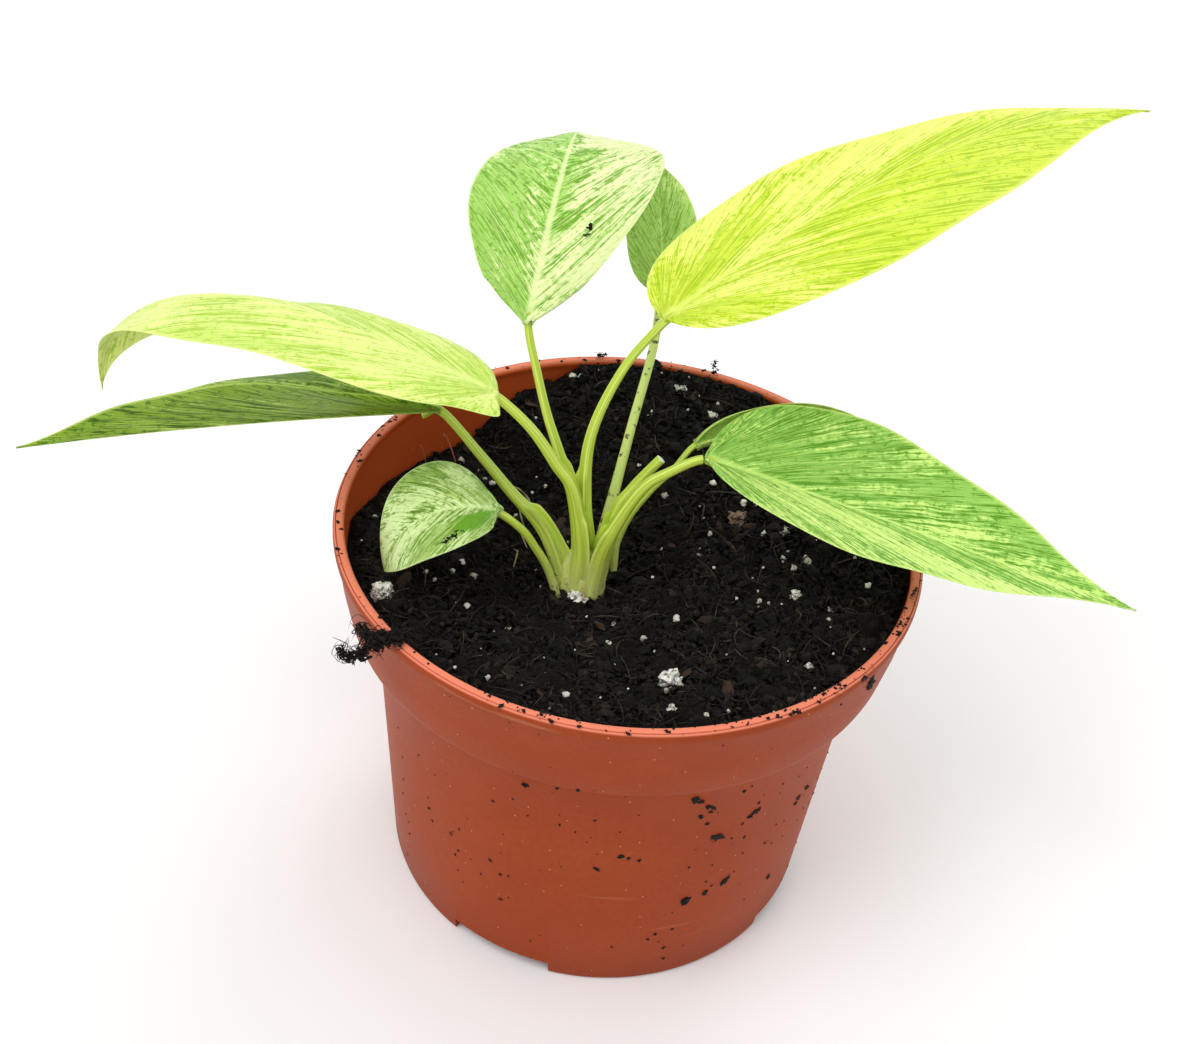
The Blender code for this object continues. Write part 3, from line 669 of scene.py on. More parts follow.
def strands(name, starts, headings, lengths, radii, bends, rises, tints):
    """One mesh of curved square fibres. bends and rises: how far the middle bows aside and up."""
    count, stations, sides = len(starts), 7, 4
    t = np.linspace(0, 1, stations)[None, :, None]
    flat = polar(1.0, headings, 0.0)[:, None, :]
    side = polar(1.0, headings + math.pi / 2, 0.0)[:, None, :]
    up = np.array([0, 0, 1.0])[None, None, :]
    bow = 4 * t * (1 - t)
    path = starts[:, None, :] + flat * (t - 0.5) * lengths[:, None, None]
    path = path + side * bow * bends[:, None, None] + up * (bow - 0.5) * rises[:, None, None]
    taper = radii[:, None, None] * (0.35 + 0.65 * np.sqrt(np.clip(bow, 0, 1)))
    angle = np.linspace(0, 2 * math.pi, sides, endpoint=False)
    ring = side[:, :, None, :] * np.cos(angle)[None, None, :, None]
    ring = ring + up[:, :, None, :] * np.sin(angle)[None, None, :, None]
    points = (path[:, :, None, :] + ring * taper[:, :, None, :]).reshape(-1, 3)
    quads = []
    for k in range(stations - 1):
        for j in range(sides):
            i = (j + 1) % sides
            quads.append((k * sides + j, k * sides + i, (k + 1) * sides + i, (k + 1) * sides + j))
    quads.append((3, 2, 1, 0))
    last = (stations - 1) * sides
    quads.append((last, last + 1, last + 2, last + 3))
    quads = np.array(quads)
    shift = np.arange(count)[:, None, None] * stations * sides
    faces = (quads[None] + shift).reshape(-1, 4)
    return mesh_from(name, points, faces, np.repeat(tints, len(quads)))


# -------- shapes


def soil_edge_height(angles):
    bearings, heights = (np.array(column, float) for column in zip(*SOIL_EDGE))
    bearing = (np.degrees(angles) + 180) % 360 - 180
    i = np.clip(np.searchsorted(bearings, bearing, side="right") - 1, 0, len(bearings) - 2)
    t = smoothstep((bearing - bearings[i]) / (bearings[i + 1] - bearings[i]))
    return heights[i] + (heights[i + 1] - heights[i]) * t


def inner_radius(z):
    """Radius of the pot's inner wall at height z."""
    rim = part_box("nursery_pot")[1]
    heights = (FLOOR_TOP, SHOULDER[1] + 0.0006, COLLAR_FOOT[1], rim[2] - LIP_HEIGHT, rim[2])
    radii = (BASE_RADIUS + 0.0003, SHOULDER[0], COLLAR_FOOT[0], RIM_RADIUS - 0.0004,
             RIM_RADIUS - LIP_WIDTH + WALL)
    return np.interp(z, heights, radii) - WALL


RIM_RADIUS = float(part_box("nursery_pot")[1][0])
POT_HEIGHT = float(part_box("nursery_pot")[1][2])
COLLAR_SLOPE = (RIM_RADIUS - 0.0004 - COLLAR_FOOT[0]) / (POT_HEIGHT - LIP_HEIGHT - COLLAR_FOOT[1])


def soil_height(x, y):
    """Height of the soil's surface, without its lumps."""
    edge = soil_edge_height(np.arctan2(y, x))
    t = smoothstep(np.hypot(x, y) / inner_radius(edge))
    return SOIL_CENTRE_HEIGHT + (edge - SOIL_CENTRE_HEIGHT) * t


def leaf_stations(leaf, s):
    """Unit vectors along the midrib, to the left margin and off the upper face."""
    yaw = np.radians(leaf["yaw"] + leaf["sweep"] * s)
    pitch = np.radians(leaf["pitch"] - leaf["droop"] * s ** leaf["late"])
    bank = np.radians(leaf["roll"] + leaf["twist"] * s)[..., None]
    along = polar(np.cos(pitch), yaw, np.sin(pitch))
    level = polar(1.0, yaw + math.pi / 2, 0.0)
    left = level * np.cos(bank) + np.cross(along, level) * np.sin(bank)
    return along, left, np.cross(along, left)


def leaf_midrib(leaf):
    s = (np.arange(MIDRIB_STATIONS) + 0.5) / MIDRIB_STATIONS
    steps = leaf_stations(leaf, s)[0] * leaf["length"] / MIDRIB_STATIONS
    return np.vstack([leaf["base"], np.array(leaf["base"]) + np.cumsum(steps, axis=0)])


def half_width(leaf, u, side):
    base_power, tip_power = leaf["shape"]
    widest = base_power / (base_power + tip_power)
    fullness = u**base_power * (1 - u)**tip_power
    fullness = fullness / (widest**base_power * (1 - widest)**tip_power)
    fullness = fullness * smoothstep((u + 0.004) / leaf.get("funnel", 0.004))
    fullness = fullness * (1 - leaf.get("drawn", 0.3) * smoothstep((u - 0.72) / 0.28))
    return leaf["width"] / 2 * fullness * (1 + side * leaf["offset"])


def leaf_surface(leaf, across, along):
    """Points of the blade's upper face. across runs from the left margin to the right one."""
    side = np.where(across < 0.5, 1.0, -1.0)
    v = np.abs(2 * across - 1)
    u = along**ROW_CROWDING
    reach = half_width(leaf, u, side)
    margin = u - leaf["lobe"] * np.sin(math.pi * np.minimum(u / 0.3, 1))
    margin = margin - leaf.get("auricle", 0) * (side > 0) * hump(u - 0.05, 0.03)
    lean = v**COLUMN_CROWDING
    s = u**VEIN_LEAN * (1 - lean) + margin * lean
    midrib = leaf_midrib(leaf)
    forward, left, up = leaf_stations(leaf, np.clip(s, 0, 1))
    centre = between(midrib, s) + forward * ((s - np.clip(s, 0, 1)) * leaf["length"])[:, None]
    lift = np.radians(leaf["fold"][0] + (leaf["fold"][1] - leaf["fold"][0]) * u)
    cup = np.radians(np.where(side > 0, leaf["cup"][0], leaf["cup"][1]))
    steps = 16
    middle = (np.arange(steps) + 0.5) / steps
    angle = lift[:, None] + cup[:, None] * v[:, None] * middle[None]
    out = np.cos(angle).mean(axis=1) * v * reach
    rise = np.sin(angle).mean(axis=1) * v * reach
    height, count = leaf["waves"]
    rise = rise + height * np.sin(2 * math.pi * count * u + side) * v**2 * np.sin(math.pi * u)
    ripple = np.cos(2 * math.pi * RIPPLES * u + 0.6 * side) * np.sin(math.pi * v)
    rise = rise + RIPPLE_HEIGHT * ripple
    rise = rise - CREASE_DEPTH * (1 - u) * hump(v * reach, CREASE_WIDTH)
    return centre + left * (side * out)[:, None] + up * rise[:, None]


def stalk_frames(route):
    """Points along a petiole with unit vectors to its inner face and sideways."""
    line = smooth_route(route, STALK_STATIONS)
    along = unit(np.gradient(line, axis=0))
    lean = line[-1] - line[0]
    outward = unit(np.array([lean[0], lean[1], 0.0]))
    inner = unit(-outward - along * (along @ -outward)[:, None])
    return line, inner, np.cross(along, inner)


def stalk_surface(stalk, route, across, along):
    """Points of a petiole: a fluted stalk, clasping and winged near its foot."""
    line, inner, side = stalk_frames(route)
    s = np.clip((along - CAP_SHARE) / (1 - 2 * CAP_SHARE), 0, 1)
    cap = np.clip(np.minimum(along, 1 - along) / CAP_SHARE, 0, 1)
    angle = 2 * math.pi * across
    turn = (angle + math.pi) % (2 * math.pi) - math.pi
    slim = 1 - (1 - s) ** 2.2
    radius = stalk["foot"] + (stalk["top"] - stalk["foot"]) * slim
    clasp = min(stalk["wing"] / FULL_WING, 1.0)
    broad = 1 + (0.28 + 0.42 * clasp) * hump(s, 0.27)
    depth = 1 - 0.22 * hump(s, 0.3)
    reach = max(stalk["reach"], 1e-3)
    winged = smoothstep((reach - s) / 0.04) * (0.55 + 0.45 * s / reach)
    groove = (0.16 + 0.34 * smoothstep((reach - s) / 0.25)) * hump(turn, 0.42)
    wings = stalk["wing"] * winged * hump(np.abs(turn) - 0.72, 0.20)
    flute = 0.00003 * np.cos(9 * turn) * (1 - hump(turn, 0.9))
    size = (radius * (1 - groove) + wings + flute) * cap
    out = size * np.sin(angle) * broad
    rise = size * np.cos(angle) * depth
    return (between(line, s) + between(inner, s) * rise[:, None]
            + between(side, s) * out[:, None])


# -------- finishes


def leaf_finish(name, leaf, gloss):
    finish = Finish(name, subsurface_weight=0.18, subsurface_scale=0.0015,
                    subsurface_radius=(0.8, 1.0, 0.25), specular_ior_level=0.18)
    place = finish.object_place()
    across, along, _ = finish.split(finish.uv())
    w = (across - 0.5) * 2
    left = w * -1
    ragged = along + (finish.noise(place, 160.0, 3.0) - 0.5) * 0.016
    seed = leaf["seed"]
    broad = finish.noise(finish.join(ragged * 36, w * 1.1, seed), 1.0, 3.0, 0.6)
    fine = finish.noise(finish.join(ragged * 100, w * 2.6, seed + 4), 1.0, 3.0, 0.6)
    dash = finish.noise(finish.join(ragged * 260, w * 11.0, seed + 8), 1.0, 2.0, 0.6)
    specks = finish.noise(place, 800.0, 3.0, 0.65)
    patch = finish.noise(finish.join(along * 4, w * 1.4, seed + 12), 1.0, 1.0, 0.5)
    amount = broad * 0.34 + fine * 0.30 + dash * 0.14 + specks * 0.22 + (patch - 0.5) * 0.45
    amount = amount + left * (leaf["left"] * 0.5) + (along - 0.5) * leaf["tip"]
    level = 0.46 + (0.5 - leaf["cover"]) * 0.5
    green = amount.above(level - 0.045, level + 0.05)
    finish.colour = finish.mix(green, rgb(*leaf["pale"]), rgb(*leaf["green"]))
    streak = (fine * 0.55 + dash * 0.3 + broad * 0.15).above(0.49, 0.56)
    finish.cover(streak * (green * 0.7 + 0.3), rgb(*leaf["deep"]))
    blot = (specks * 0.65 + dash * 0.35).above(0.54, 0.60)
    finish.cover(blot * (green * 0.6 + 0.3), rgb(*leaf["deep"]))
    clear = finish.noise(finish.join(ragged * 240, w * 1.1, seed + 16), 1.0, 1.0, 0.5)
    finish.cover(clear.above(0.57, 0.65) * 0.45, rgb(*leaf["pale"]))
    if "patch" in leaf:
        middle, aside, long, wide = leaf["patch"]
        gap = ((along - middle).size() / long) ** 2 + ((w - aside).size() / wide) ** 2
        stain = 1 - (gap + (broad - 0.5) * 3).above(0.7, 1.0)
        finish.cover(stain * 0.9, rgb(98, 158, 12))
    rib = 1 - w.size().above(0.015, 0.05 + 0.10 * (1 - along) * (1 - along))
    finish.cover(rib * 0.7, rgb(*leaf["pale"]))
    rim = w.size().above(0.965, 0.995)
    finish.cover(rim * 0.6, rgb(*leaf["pale"]))
    veins = finish.noise(finish.join(along * 190, w * 1.0, seed + 20), 1.0, 1.0, 0.4)
    return finish.done((fine - 0.5) * 0.25 + gloss,
                       veins * 0.6 + specks * 0.25 + dash * 0.3, 0.00022, 0.7)


def stalk_finish(name, settings, seed, speckled, cut):
    finish = Finish(name, subsurface_weight=0.15, subsurface_scale=0.002,
                    subsurface_radius=(0.8, 1.0, 0.25), coat_weight=0.12, coat_roughness=0.3,
                    specular_ior_level=0.45)
    place = finish.object_place()
    across, along, _ = finish.split(finish.uv())
    pale, green, foot = settings.petiole_pale, settings.petiole_green, settings.petiole_foot
    streaks = finish.noise(finish.join(across * 22, along * 2.5, seed), 1.0, 3.0, 0.6)
    finish.colour = finish.mix(streaks.above(0.36, 0.64), tuple(pale), tuple(green))
    # Painted shade: the groove on the inner face is darkened towards the green streak colour.
    inner = (across - 0.5).size().above(0.36, 0.46)
    finish.cover(inner * 0.45, tuple(green))
    edge = (((across - 0.5).size() - 0.385).size()).above(0.0, 0.035)
    finish.cover((1 - edge) * 0.55, rgb(226, 240, 140))
    low = 1 - finish.split(place)[2].above(SOIL_CENTRE_HEIGHT - 0.001, SOIL_CENTRE_HEIGHT + 0.016)
    finish.cover(low * 0.8, tuple(foot))
    grime = finish.noise(place, 900.0, 4.0, 0.7)
    soiled = grime.above(0.60, 0.66) * (low * 0.9)
    if speckled:
        blots = finish.noise(place, 520.0, 3.0, 0.7)
        soiled = soiled + blots.above(0.585, 0.63) * 0.9
        finish.cover(0.35, rgb(214, 226, 160))
    finish.cover(soiled, rgb(36, 26, 14))
    if cut:
        finish.cover(along.above(0.982, 0.986), rgb(240, 242, 226))
    return finish.done(streaks * 0.2 + 0.32, streaks * 0.6 + grime * 0.3, 0.00025, 0.6)


def crown_finish(settings):
    finish = Finish("crown_sheath", subsurface_weight=0.15, subsurface_scale=0.002,
                    subsurface_radius=(0.8, 1.0, 0.3), coat_weight=0.1, coat_roughness=0.35)
    place = finish.object_place()
    across, along, _ = finish.split(finish.uv())
    streaks = finish.noise(finish.join(across * 26, along * 2.0, 3.0), 1.0, 3.0, 0.6)
    finish.colour = finish.mix(streaks.above(0.35, 0.65), tuple(settings.petiole_foot),
                               rgb(206, 212, 108))
    grime = finish.noise(place, 700.0, 5.0, 0.75)
    low = 1 - finish.split(place)[2].above(SOIL_CENTRE_HEIGHT, SOIL_CENTRE_HEIGHT + 0.008)
    finish.cover(grime.above(0.52, 0.60) * (low * 0.75 + 0.1), rgb(52, 38, 20))
    return finish.done(streaks * 0.2 + 0.4, streaks + grime * 0.3, 0.00015, 0.4)


def pot_finish(settings):
    finish = Finish("moulded_terracotta", specular_ior_level=0.08)
    place = finish.object_place()
    x, y, z = finish.split(place)
    cloud = finish.noise(place, 38.0, 4.0, 0.6)
    grain = finish.noise(place, 900.0, 2.0, 0.6)
    finish.colour = finish.mix(cloud.above(0.3, 0.7), tuple(settings.clay),
                               tuple(settings.clay_light))
    finish.cover(grain.above(0.35, 0.75) * 0.22, tuple(settings.clay_dark))
    radius = (x * x + y * y) ** 0.5
    outside = (z - COLLAR_FOOT[1]) * COLLAR_SLOPE + (COLLAR_FOOT[0] - 0.0007)
    # Painted light: the inner wall above the shoulder takes a lighter orange, to make up for the
    # shade that falls inside the pot.
    inside = (1 - (radius - outside).above(-0.0002, 0.0002)) * z.above(0.064, 0.067)
    finish.cover(inside * 0.75, rgb(214, 92, 44))
    # Painted highlight: the top of the lip is lightened to salmon, as light from above would make
    # it.
    lip = z.above(POT_HEIGHT - 0.0007, POT_HEIGHT - 0.0003)
    finish.cover(lip * 0.85, tuple(settings.lip_highlight))
    flecks = finish.cells(place, 340.0)
    finish.cover(1 - flecks.above(0.035, 0.07), rgb(206, 150, 110))
    dots = finish.cells(finish.node("ShaderNodeVectorMath", {"operation": "ADD"},
                                    {0: place, 1: (0.31, 0.12, 0.2)}), 260.0)
    speck = 1 - dots.above(0.045, 0.085)
    patchy = finish.noise(place, 60.0, 2.0, 0.5).above(0.48, 0.6)
    finish.cover(speck * patchy * 0.85, rgb(46, 24, 16))
    scuffs = finish.noise(finish.join(x * 30, y * 30, z * 420), 1.0, 2.0, 0.5)
    worn = scuffs.above(0.62, 0.72) * finish.noise(place, 22.0, 1.0).above(0.55, 0.7)
    finish.cover(worn * 0.18, rgb(214, 160, 128))
    # Painted shade: the pot darkens towards the floor.
    bottom = 1 - z.above(0.0, 0.012)
    finish.cover(bottom * 0.25, tuple(settings.clay_dark))
    return finish.done(cloud * 0.2 + worn * 0.1 + 0.36,
                       grain * 0.5 + cloud * 0.8, 0.00006, 0.5)


def tinted_finish(name, stops, roughness, scale, bump=0.0003, hollow_shade=0.0):
    """A finish for many small bits, each coloured by its tint.

    The last argument is how far the colour sinks to black in patches: a painted shade for the
    shadowed hollows between the bits.
    """
    finish = Finish(name, specular_ior_level=0.3)
    place = finish.object_place()
    tint = finish.split(finish.uv())[0]
    mottle = finish.noise(place, scale, 3.0, 0.65)
    pick = tint * 0.75 + mottle * 0.25
    finish.colour = finish.node("ShaderNodeValToRGB", {"stops": stops}, {0: pick})
    if hollow_shade:
        # Painted shade: black patches stand in for the shade in the hollows between the bits.
        dark = 1 - finish.noise(place, 190.0, 4.0, 0.65).above(0.40, 0.58)
        finish.cover(dark * hollow_shade, rgb(4, 3, 2))
    return finish.done(mottle * 0.2 + roughness, mottle, bump, 0.8)


def soil_finish(settings):
    finish = Finish("potting_mix", specular_ior_level=0.2)
    place = finish.object_place()
    lumps = finish.noise(place, 260.0, 6.0, 0.7)
    tufts = finish.noise(place, 1100.0, 4.0, 0.7)
    cold = finish.noise(place, 60.0, 2.0, 0.5)
    finish.colour = finish.mix(lumps.above(0.38, 0.66), rgb(6, 4, 3), tuple(settings.soil))
    finish.cover(tufts.above(0.58, 0.72) * 0.6, tuple(settings.soil_light))
    finish.cover(cold.above(0.45, 0.7) * 0.3, rgb(18, 16, 16))
    return finish.done(tufts * 0.2 + 0.8, lumps + tufts * 0.7, 0.0012, 1.0)


def perlite_finish(name, light, dark):
    finish = Finish(name, subsurface_weight=0.05, subsurface_scale=0.001)
    place = finish.object_place()
    pits = finish.cells(place, 1500.0)
    dirt = finish.noise(place, 800.0, 4.0, 0.7)
    finish.colour = finish.mix(dirt.above(0.46, 0.64), light, dark)
    # Painted shade: the pits are darkened to a grey-brown.
    finish.cover((1 - pits.above(0.1, 0.3)) * 0.4, rgb(120, 108, 92))
    return finish.done(dirt * 0.2 + 0.75, pits + dirt * 0.6, 0.0004, 0.9)


def root_finish():
    finish = Finish("root_skin")
    place = finish.object_place()
    rings = finish.noise(place, 800.0, 3.0, 0.6)
    finish.colour = finish.mix(rings.above(0.35, 0.7), rgb(206, 184, 148), rgb(140, 106, 70))
    return finish.done(rings * 0.2 + 0.6, rings, 0.0003, 0.6)


SOIL_STOPS = ((0.0, rgb(5, 4, 3)), (0.35, rgb(13, 10, 8)), (0.62, rgb(24, 18, 14)),
              (0.85, rgb(48, 38, 31)), (1.0, rgb(92, 80, 68)))
FIBRE_STOPS = ((0.0, rgb(10, 8, 6)), (0.45, rgb(26, 20, 16)), (0.75, rgb(56, 44, 34)),
               (0.92, rgb(98, 86, 74)), (1.0, rgb(146, 132, 114)))
BARK_STOPS = ((0.0, rgb(16, 11, 8)), (0.5, rgb(36, 25, 18)), (1.0, rgb(66, 46, 34)))
BIT_STOPS = ((0.0, rgb(150, 142, 130)), (0.4, rgb(205, 200, 190)), (1.0, rgb(250, 248, 242)))


# -------- settings


def colour_setting(name, description, default):
    return FloatVectorProperty(name=name, description=description, default=default,
                               subtype="COLOR", min=0, max=1)


class PotSettings(bpy.types.PropertyGroup):
    clay: colour_setting(
        "Clay colour", "Colour of the moulded plastic", rgb(151, 62, 27))
    clay_light: colour_setting(
        "Light clay", "Lighter drifts in the plastic", rgb(157, 68, 33))
    # Dark clay serves both for the real grain and for the painted shade low on the pot.
    clay_dark: colour_setting(
        "Dark clay", "Darker grain in the plastic", rgb(124, 44, 16))
    # The lip setting is the colour of a painted highlight on the top of the lip.
    lip_highlight: colour_setting(
        "Lip colour", "Colour of the rolled lip", rgb(238, 140, 112))
    sides: IntProperty(
        name="Sides", description="Number of sides round the pot", default=POT_SIDES, min=24)


class SoilSettings(bpy.types.PropertyGroup):
    soil: colour_setting(
        "Soil colour", "Colour of the peat", rgb(22, 17, 13))
    soil_light: colour_setting(
        "Light soil", "Colour of dry tufts", rgb(50, 39, 30))
    roughness: FloatProperty(
        name="Lump height", description="Height of the soil's lumps", default=0.0023,
        min=0.0, unit="LENGTH")
    crumbs: IntProperty(
        name="Crumbs", description="Number of loose crumbs on the soil", default=9500, min=0)
    fibres: IntProperty(
        name="Fibres", description="Number of loose fibres on the soil", default=3200, min=0)


class PlantSettings(bpy.types.PropertyGroup):
    petiole_pale: colour_setting(
        "Pale petiole", "Light streaks on the petioles", rgb(208, 226, 92))
    petiole_green: colour_setting(
        "Green petiole", "Green streaks on the petioles", rgb(166, 194, 40))
    petiole_foot: colour_setting(
        "Petiole foot", "Colour of the petioles near the soil", rgb(204, 210, 132))
    gloss: FloatProperty(
        name="Leaf roughness", description="Roughness of the leaves' upper face",
        default=0.42, min=0.0, max=1.0, subtype="FACTOR")


class StageSettings(bpy.types.PropertyGroup):
    floor_colour: colour_setting(
        "Floor colour", "Colour of the floor", (0.93, 0.93, 0.93))
    sky: FloatProperty(
        name="Sky light", description="Strength of the even light from all round",
        default=0.86, min=0.0)
    key: FloatProperty(
        name="Key light", description="Power of the large soft lamp", default=3.0, min=0.0,
        unit="POWER")


class PottedPlant(bpy.types.PropertyGroup):
    pot: PointerProperty(type=PotSettings)
    soil: PointerProperty(type=SoilSettings)
    plant: PointerProperty(type=PlantSettings)
    stage: PointerProperty(type=StageSettings)


# -------- the pot


def pot_section():
    """Radius and height of each ring, from the pad under the pot up over the rim and inside."""
    lip_foot = POT_HEIGHT - LIP_HEIGHT
    ring_inside = BASE_RADIUS - FOOT_RING_WIDTH
    inner = [float(inner_radius(z)) for z in (FLOOR_TOP, COLLAR_FOOT[1], lip_foot)]
    rim = RIM_RADIUS
    return (
        (PAD_RADIUS, 0.0003), (PAD_RADIUS + 0.0010, FLOOR_UNDERSIDE),
        (ring_inside - 0.0004, FLOOR_UNDERSIDE), (ring_inside, FLOOR_UNDERSIDE - 0.0005),
        (ring_inside + 0.0003, 0.0002), (ring_inside + 0.0006, 0.0), (BASE_RADIUS - 0.0010, 0.0),
        (BASE_RADIUS - 0.0003, 0.0004), (BASE_RADIUS, 0.0014), (BASE_RADIUS + 0.0015, 0.0240),
        (BASE_RADIUS + 0.0030, 0.0460), (SHOULDER[0] - 0.0001, SHOULDER[1] - 0.0012),
        (SHOULDER[0] + 0.0003, SHOULDER[1] - 0.0001), (SHOULDER[0] + 0.0014, SHOULDER[1] + 0.0009),
        (COLLAR_FOOT[0] - 0.0016, COLLAR_FOOT[1] - 0.0022),
        (COLLAR_FOOT[0] - 0.0005, COLLAR_FOOT[1] - 0.0010),
        (COLLAR_FOOT[0], COLLAR_FOOT[1] + 0.0004), (COLLAR_FOOT[0] + 0.0014, 0.0790),
        (rim - 0.0006, lip_foot - 0.0006), (rim - 0.0004, lip_foot - 0.0002),
        (rim - 0.00005, lip_foot + 0.0001), (rim, lip_foot + 0.0005), (rim, POT_HEIGHT - 0.0009),
        (rim - 0.0001, POT_HEIGHT - 0.0006), (rim - 0.00030, POT_HEIGHT - 0.00030),
        (rim - 0.00048, POT_HEIGHT - 0.00024), (rim - 0.00056, POT_HEIGHT - 0.00050),
        (rim - 0.00066, POT_HEIGHT - 0.00052), (rim - 0.00074, POT_HEIGHT - 0.00016),
        (rim - 0.00095, POT_HEIGHT - 0.00004), (rim - 0.0014, POT_HEIGHT),
        (rim - 0.0019, POT_HEIGHT - 0.0001), (rim - 0.0022, POT_HEIGHT - 0.0004),
        (rim - LIP_WIDTH, POT_HEIGHT - 0.0010), (inner[2] - 0.0002, lip_foot),
        (inner[2], lip_foot - 0.0006), (inner[1], COLLAR_FOOT[1]),
        (SHOULDER[0] - WALL, SHOULDER[1] + 0.0006), (inner[0], FLOOR_TOP + 0.0015),
        (inner[0] - 0.0015, FLOOR_TOP), (PAD_RADIUS + 0.0005, FLOOR_TOP),
        (PAD_RADIUS - 0.0010, FLOOR_TOP - FLOOR_UNDERSIDE), (0.004, FLOOR_TOP - FLOOR_UNDERSIDE),
    )


def cutting_block(name, spots, add):
    """Several primitives joined into one cutter; add makes one at the origin."""
    made = []
    for matrix in spots:
        add()
        bpy.context.object.matrix_world = matrix @ bpy.context.object.matrix_world
        made.append(bpy.context.object)
    for obj in made:
        obj.select_set(True)
    bpy.context.view_layer.objects.active = made[0]
    bpy.ops.object.join()
    bpy.ops.object.transform_apply(location=True, rotation=True, scale=True)
    return start_mesh(name)


def round_axis(count, bearing, offset):
    """Matrices of count places evenly round the axis, offset from it."""
    return [Matrix.Rotation(math.radians(bearing + 360 * i / count), 4, "Z")
            @ Matrix.Translation(offset) for i in range(count)]


class PLANT_OT_pot(bpy.types.Operator):
    """Models the nursery pot: a disc extruded ring by ring, then notched and drilled"""
    bl_idname = "plant.pot"
    bl_label = "Nursery Pot"

    def execute(self, context):
        settings = context.scene.potted_plant.pot
        first = PAD_RADIUS - 0.0004
        bpy.ops.mesh.primitive_circle_add(vertices=settings.sides, radius=first,
                                          fill_type="NGON")
        pot = start_mesh("pot_shell")
        bpy.ops.object.mode_set(mode="EDIT")
        bpy.ops.mesh.select_all(action="SELECT")
        last_radius, last_height = first, 0.0
        for radius, height in pot_section():
            lift = {"value": (0, 0, height - last_height), "orient_type": "GLOBAL"}
            bpy.ops.mesh.extrude_region_move(TRANSFORM_OT_translate=lift)
            grow = radius / last_radius
            bpy.ops.transform.resize(value=(grow, grow, 1), center_override=(0, 0, 0))
            last_radius, last_height = radius, height
        bpy.ops.mesh.select_all(action="SELECT")
        bpy.ops.mesh.normals_make_consistent(inside=False)
        bpy.ops.object.mode_set(mode="OBJECT")
        notches = cutting_block(
            "notches", round_axis(4, NOTCH_BEARING, (BASE_RADIUS, 0, 0)),
            lambda: bpy.ops.mesh.primitive_cube_add(size=1.0, scale=NOTCH_SIZE))
        apply_modifier(notches, "BEVEL", width=0.0006, segments=3)
        holes = cutting_block(
            "holes", round_axis(6, 0, (DRAIN_CIRCLE, 0, FLOOR_UNDERSIDE)),
            lambda: bpy.ops.mesh.primitive_cylinder_add(vertices=32, radius=DRAIN_RADIUS,
                                                        depth=0.012))
        for cutter in (notches, holes):
            apply_modifier(pot, "BOOLEAN", operation="DIFFERENCE", solver="EXACT", object=cutter)
            bpy.data.objects.remove(cutter)
        finish_piece(pot, pot_finish(settings), "terracotta_plastic", "nursery_pot", smooth=32)
        return {"FINISHED"}


def on_wall(bearing, height, out):
    """Points on the pot's outside, out from it by a small step."""
    heights, radii = zip(*[(0.0, BASE_RADIUS), (SHOULDER[1], SHOULDER[0]),
                           (COLLAR_FOOT[1] - 0.001, COLLAR_FOOT[0] - 0.0004),
                           (POT_HEIGHT, RIM_RADIUS)])
    return polar(np.interp(height, heights, radii) + out, np.radians(bearing), height)


def wall_turns(random, bearings):
    """Rotations that lay a lump's thin side against the wall, spun at random."""
    spin = random_turns(random, len(bearings), 0.0)
    angle = np.radians(bearings)
    out, side = polar(1.0, angle, 0.0), polar(1.0, angle + math.pi / 2, 0.0)
    up = np.broadcast_to([0.0, 0.0, 1.0], out.shape)
    return np.stack([side, up, out], -1) @ spin


class PLANT_OT_pot_dirt(bpy.types.Operator):
    """Sticks specks of soil to the outside of the pot and to its lip"""
    bl_idname = "plant.pot_dirt"
    bl_label = "Dirt on the Pot"

    def execute(self, context):
        random = np.random.default_rng(21)
        flat = [pebble("speck", 2, 1.3, 60 + k, (1.3, 0.8, 0.35)) for k in range(4)]
        bearings, heights, sizes = (np.array(c, float) for c in zip(*POT_SPECKS))
        bearings = np.concatenate([bearings, random.uniform(-150, -10, WALL_SPECKS)])
        heights = np.concatenate([heights, 0.004 + 0.082 * random.random(WALL_SPECKS) ** 0.8])
        sizes = np.concatenate([sizes, 0.00012 + 0.00022 * random.random(WALL_SPECKS) ** 2])
        spots = on_wall(bearings, heights, STUCK_OUT)
        angle = random.uniform(0, 2 * math.pi, LIP_SPECKS)
        half = LIP_SPECKS // 2
        near = np.radians(random.choice(DIRTY_BEARINGS, half))
        angle[:half] = near + random.normal(0, 0.10, half)
        radius = RIM_RADIUS - random.uniform(0.0001, 0.0022, LIP_SPECKS)
        lip = polar(radius, angle, POT_HEIGHT + STUCK_OUT)
        turns = np.concatenate([wall_turns(random, bearings),
                                random_turns(random, LIP_SPECKS, 0.2)])
        sizes = np.concatenate([sizes, 0.0001 + 0.00035 * random.random(LIP_SPECKS) ** 2.5])
        specks = strew("pot_specks", flat, np.concatenate([spots, lip]), sizes, turns,
                       random.random(len(sizes)) * 0.6)
        dark = tinted_finish("speck_soil", SOIL_STOPS, 0.75, 900.0)
        finish_piece(specks, dark, "soil_crumb")
        return {"FINISHED"}


# -------- the soil


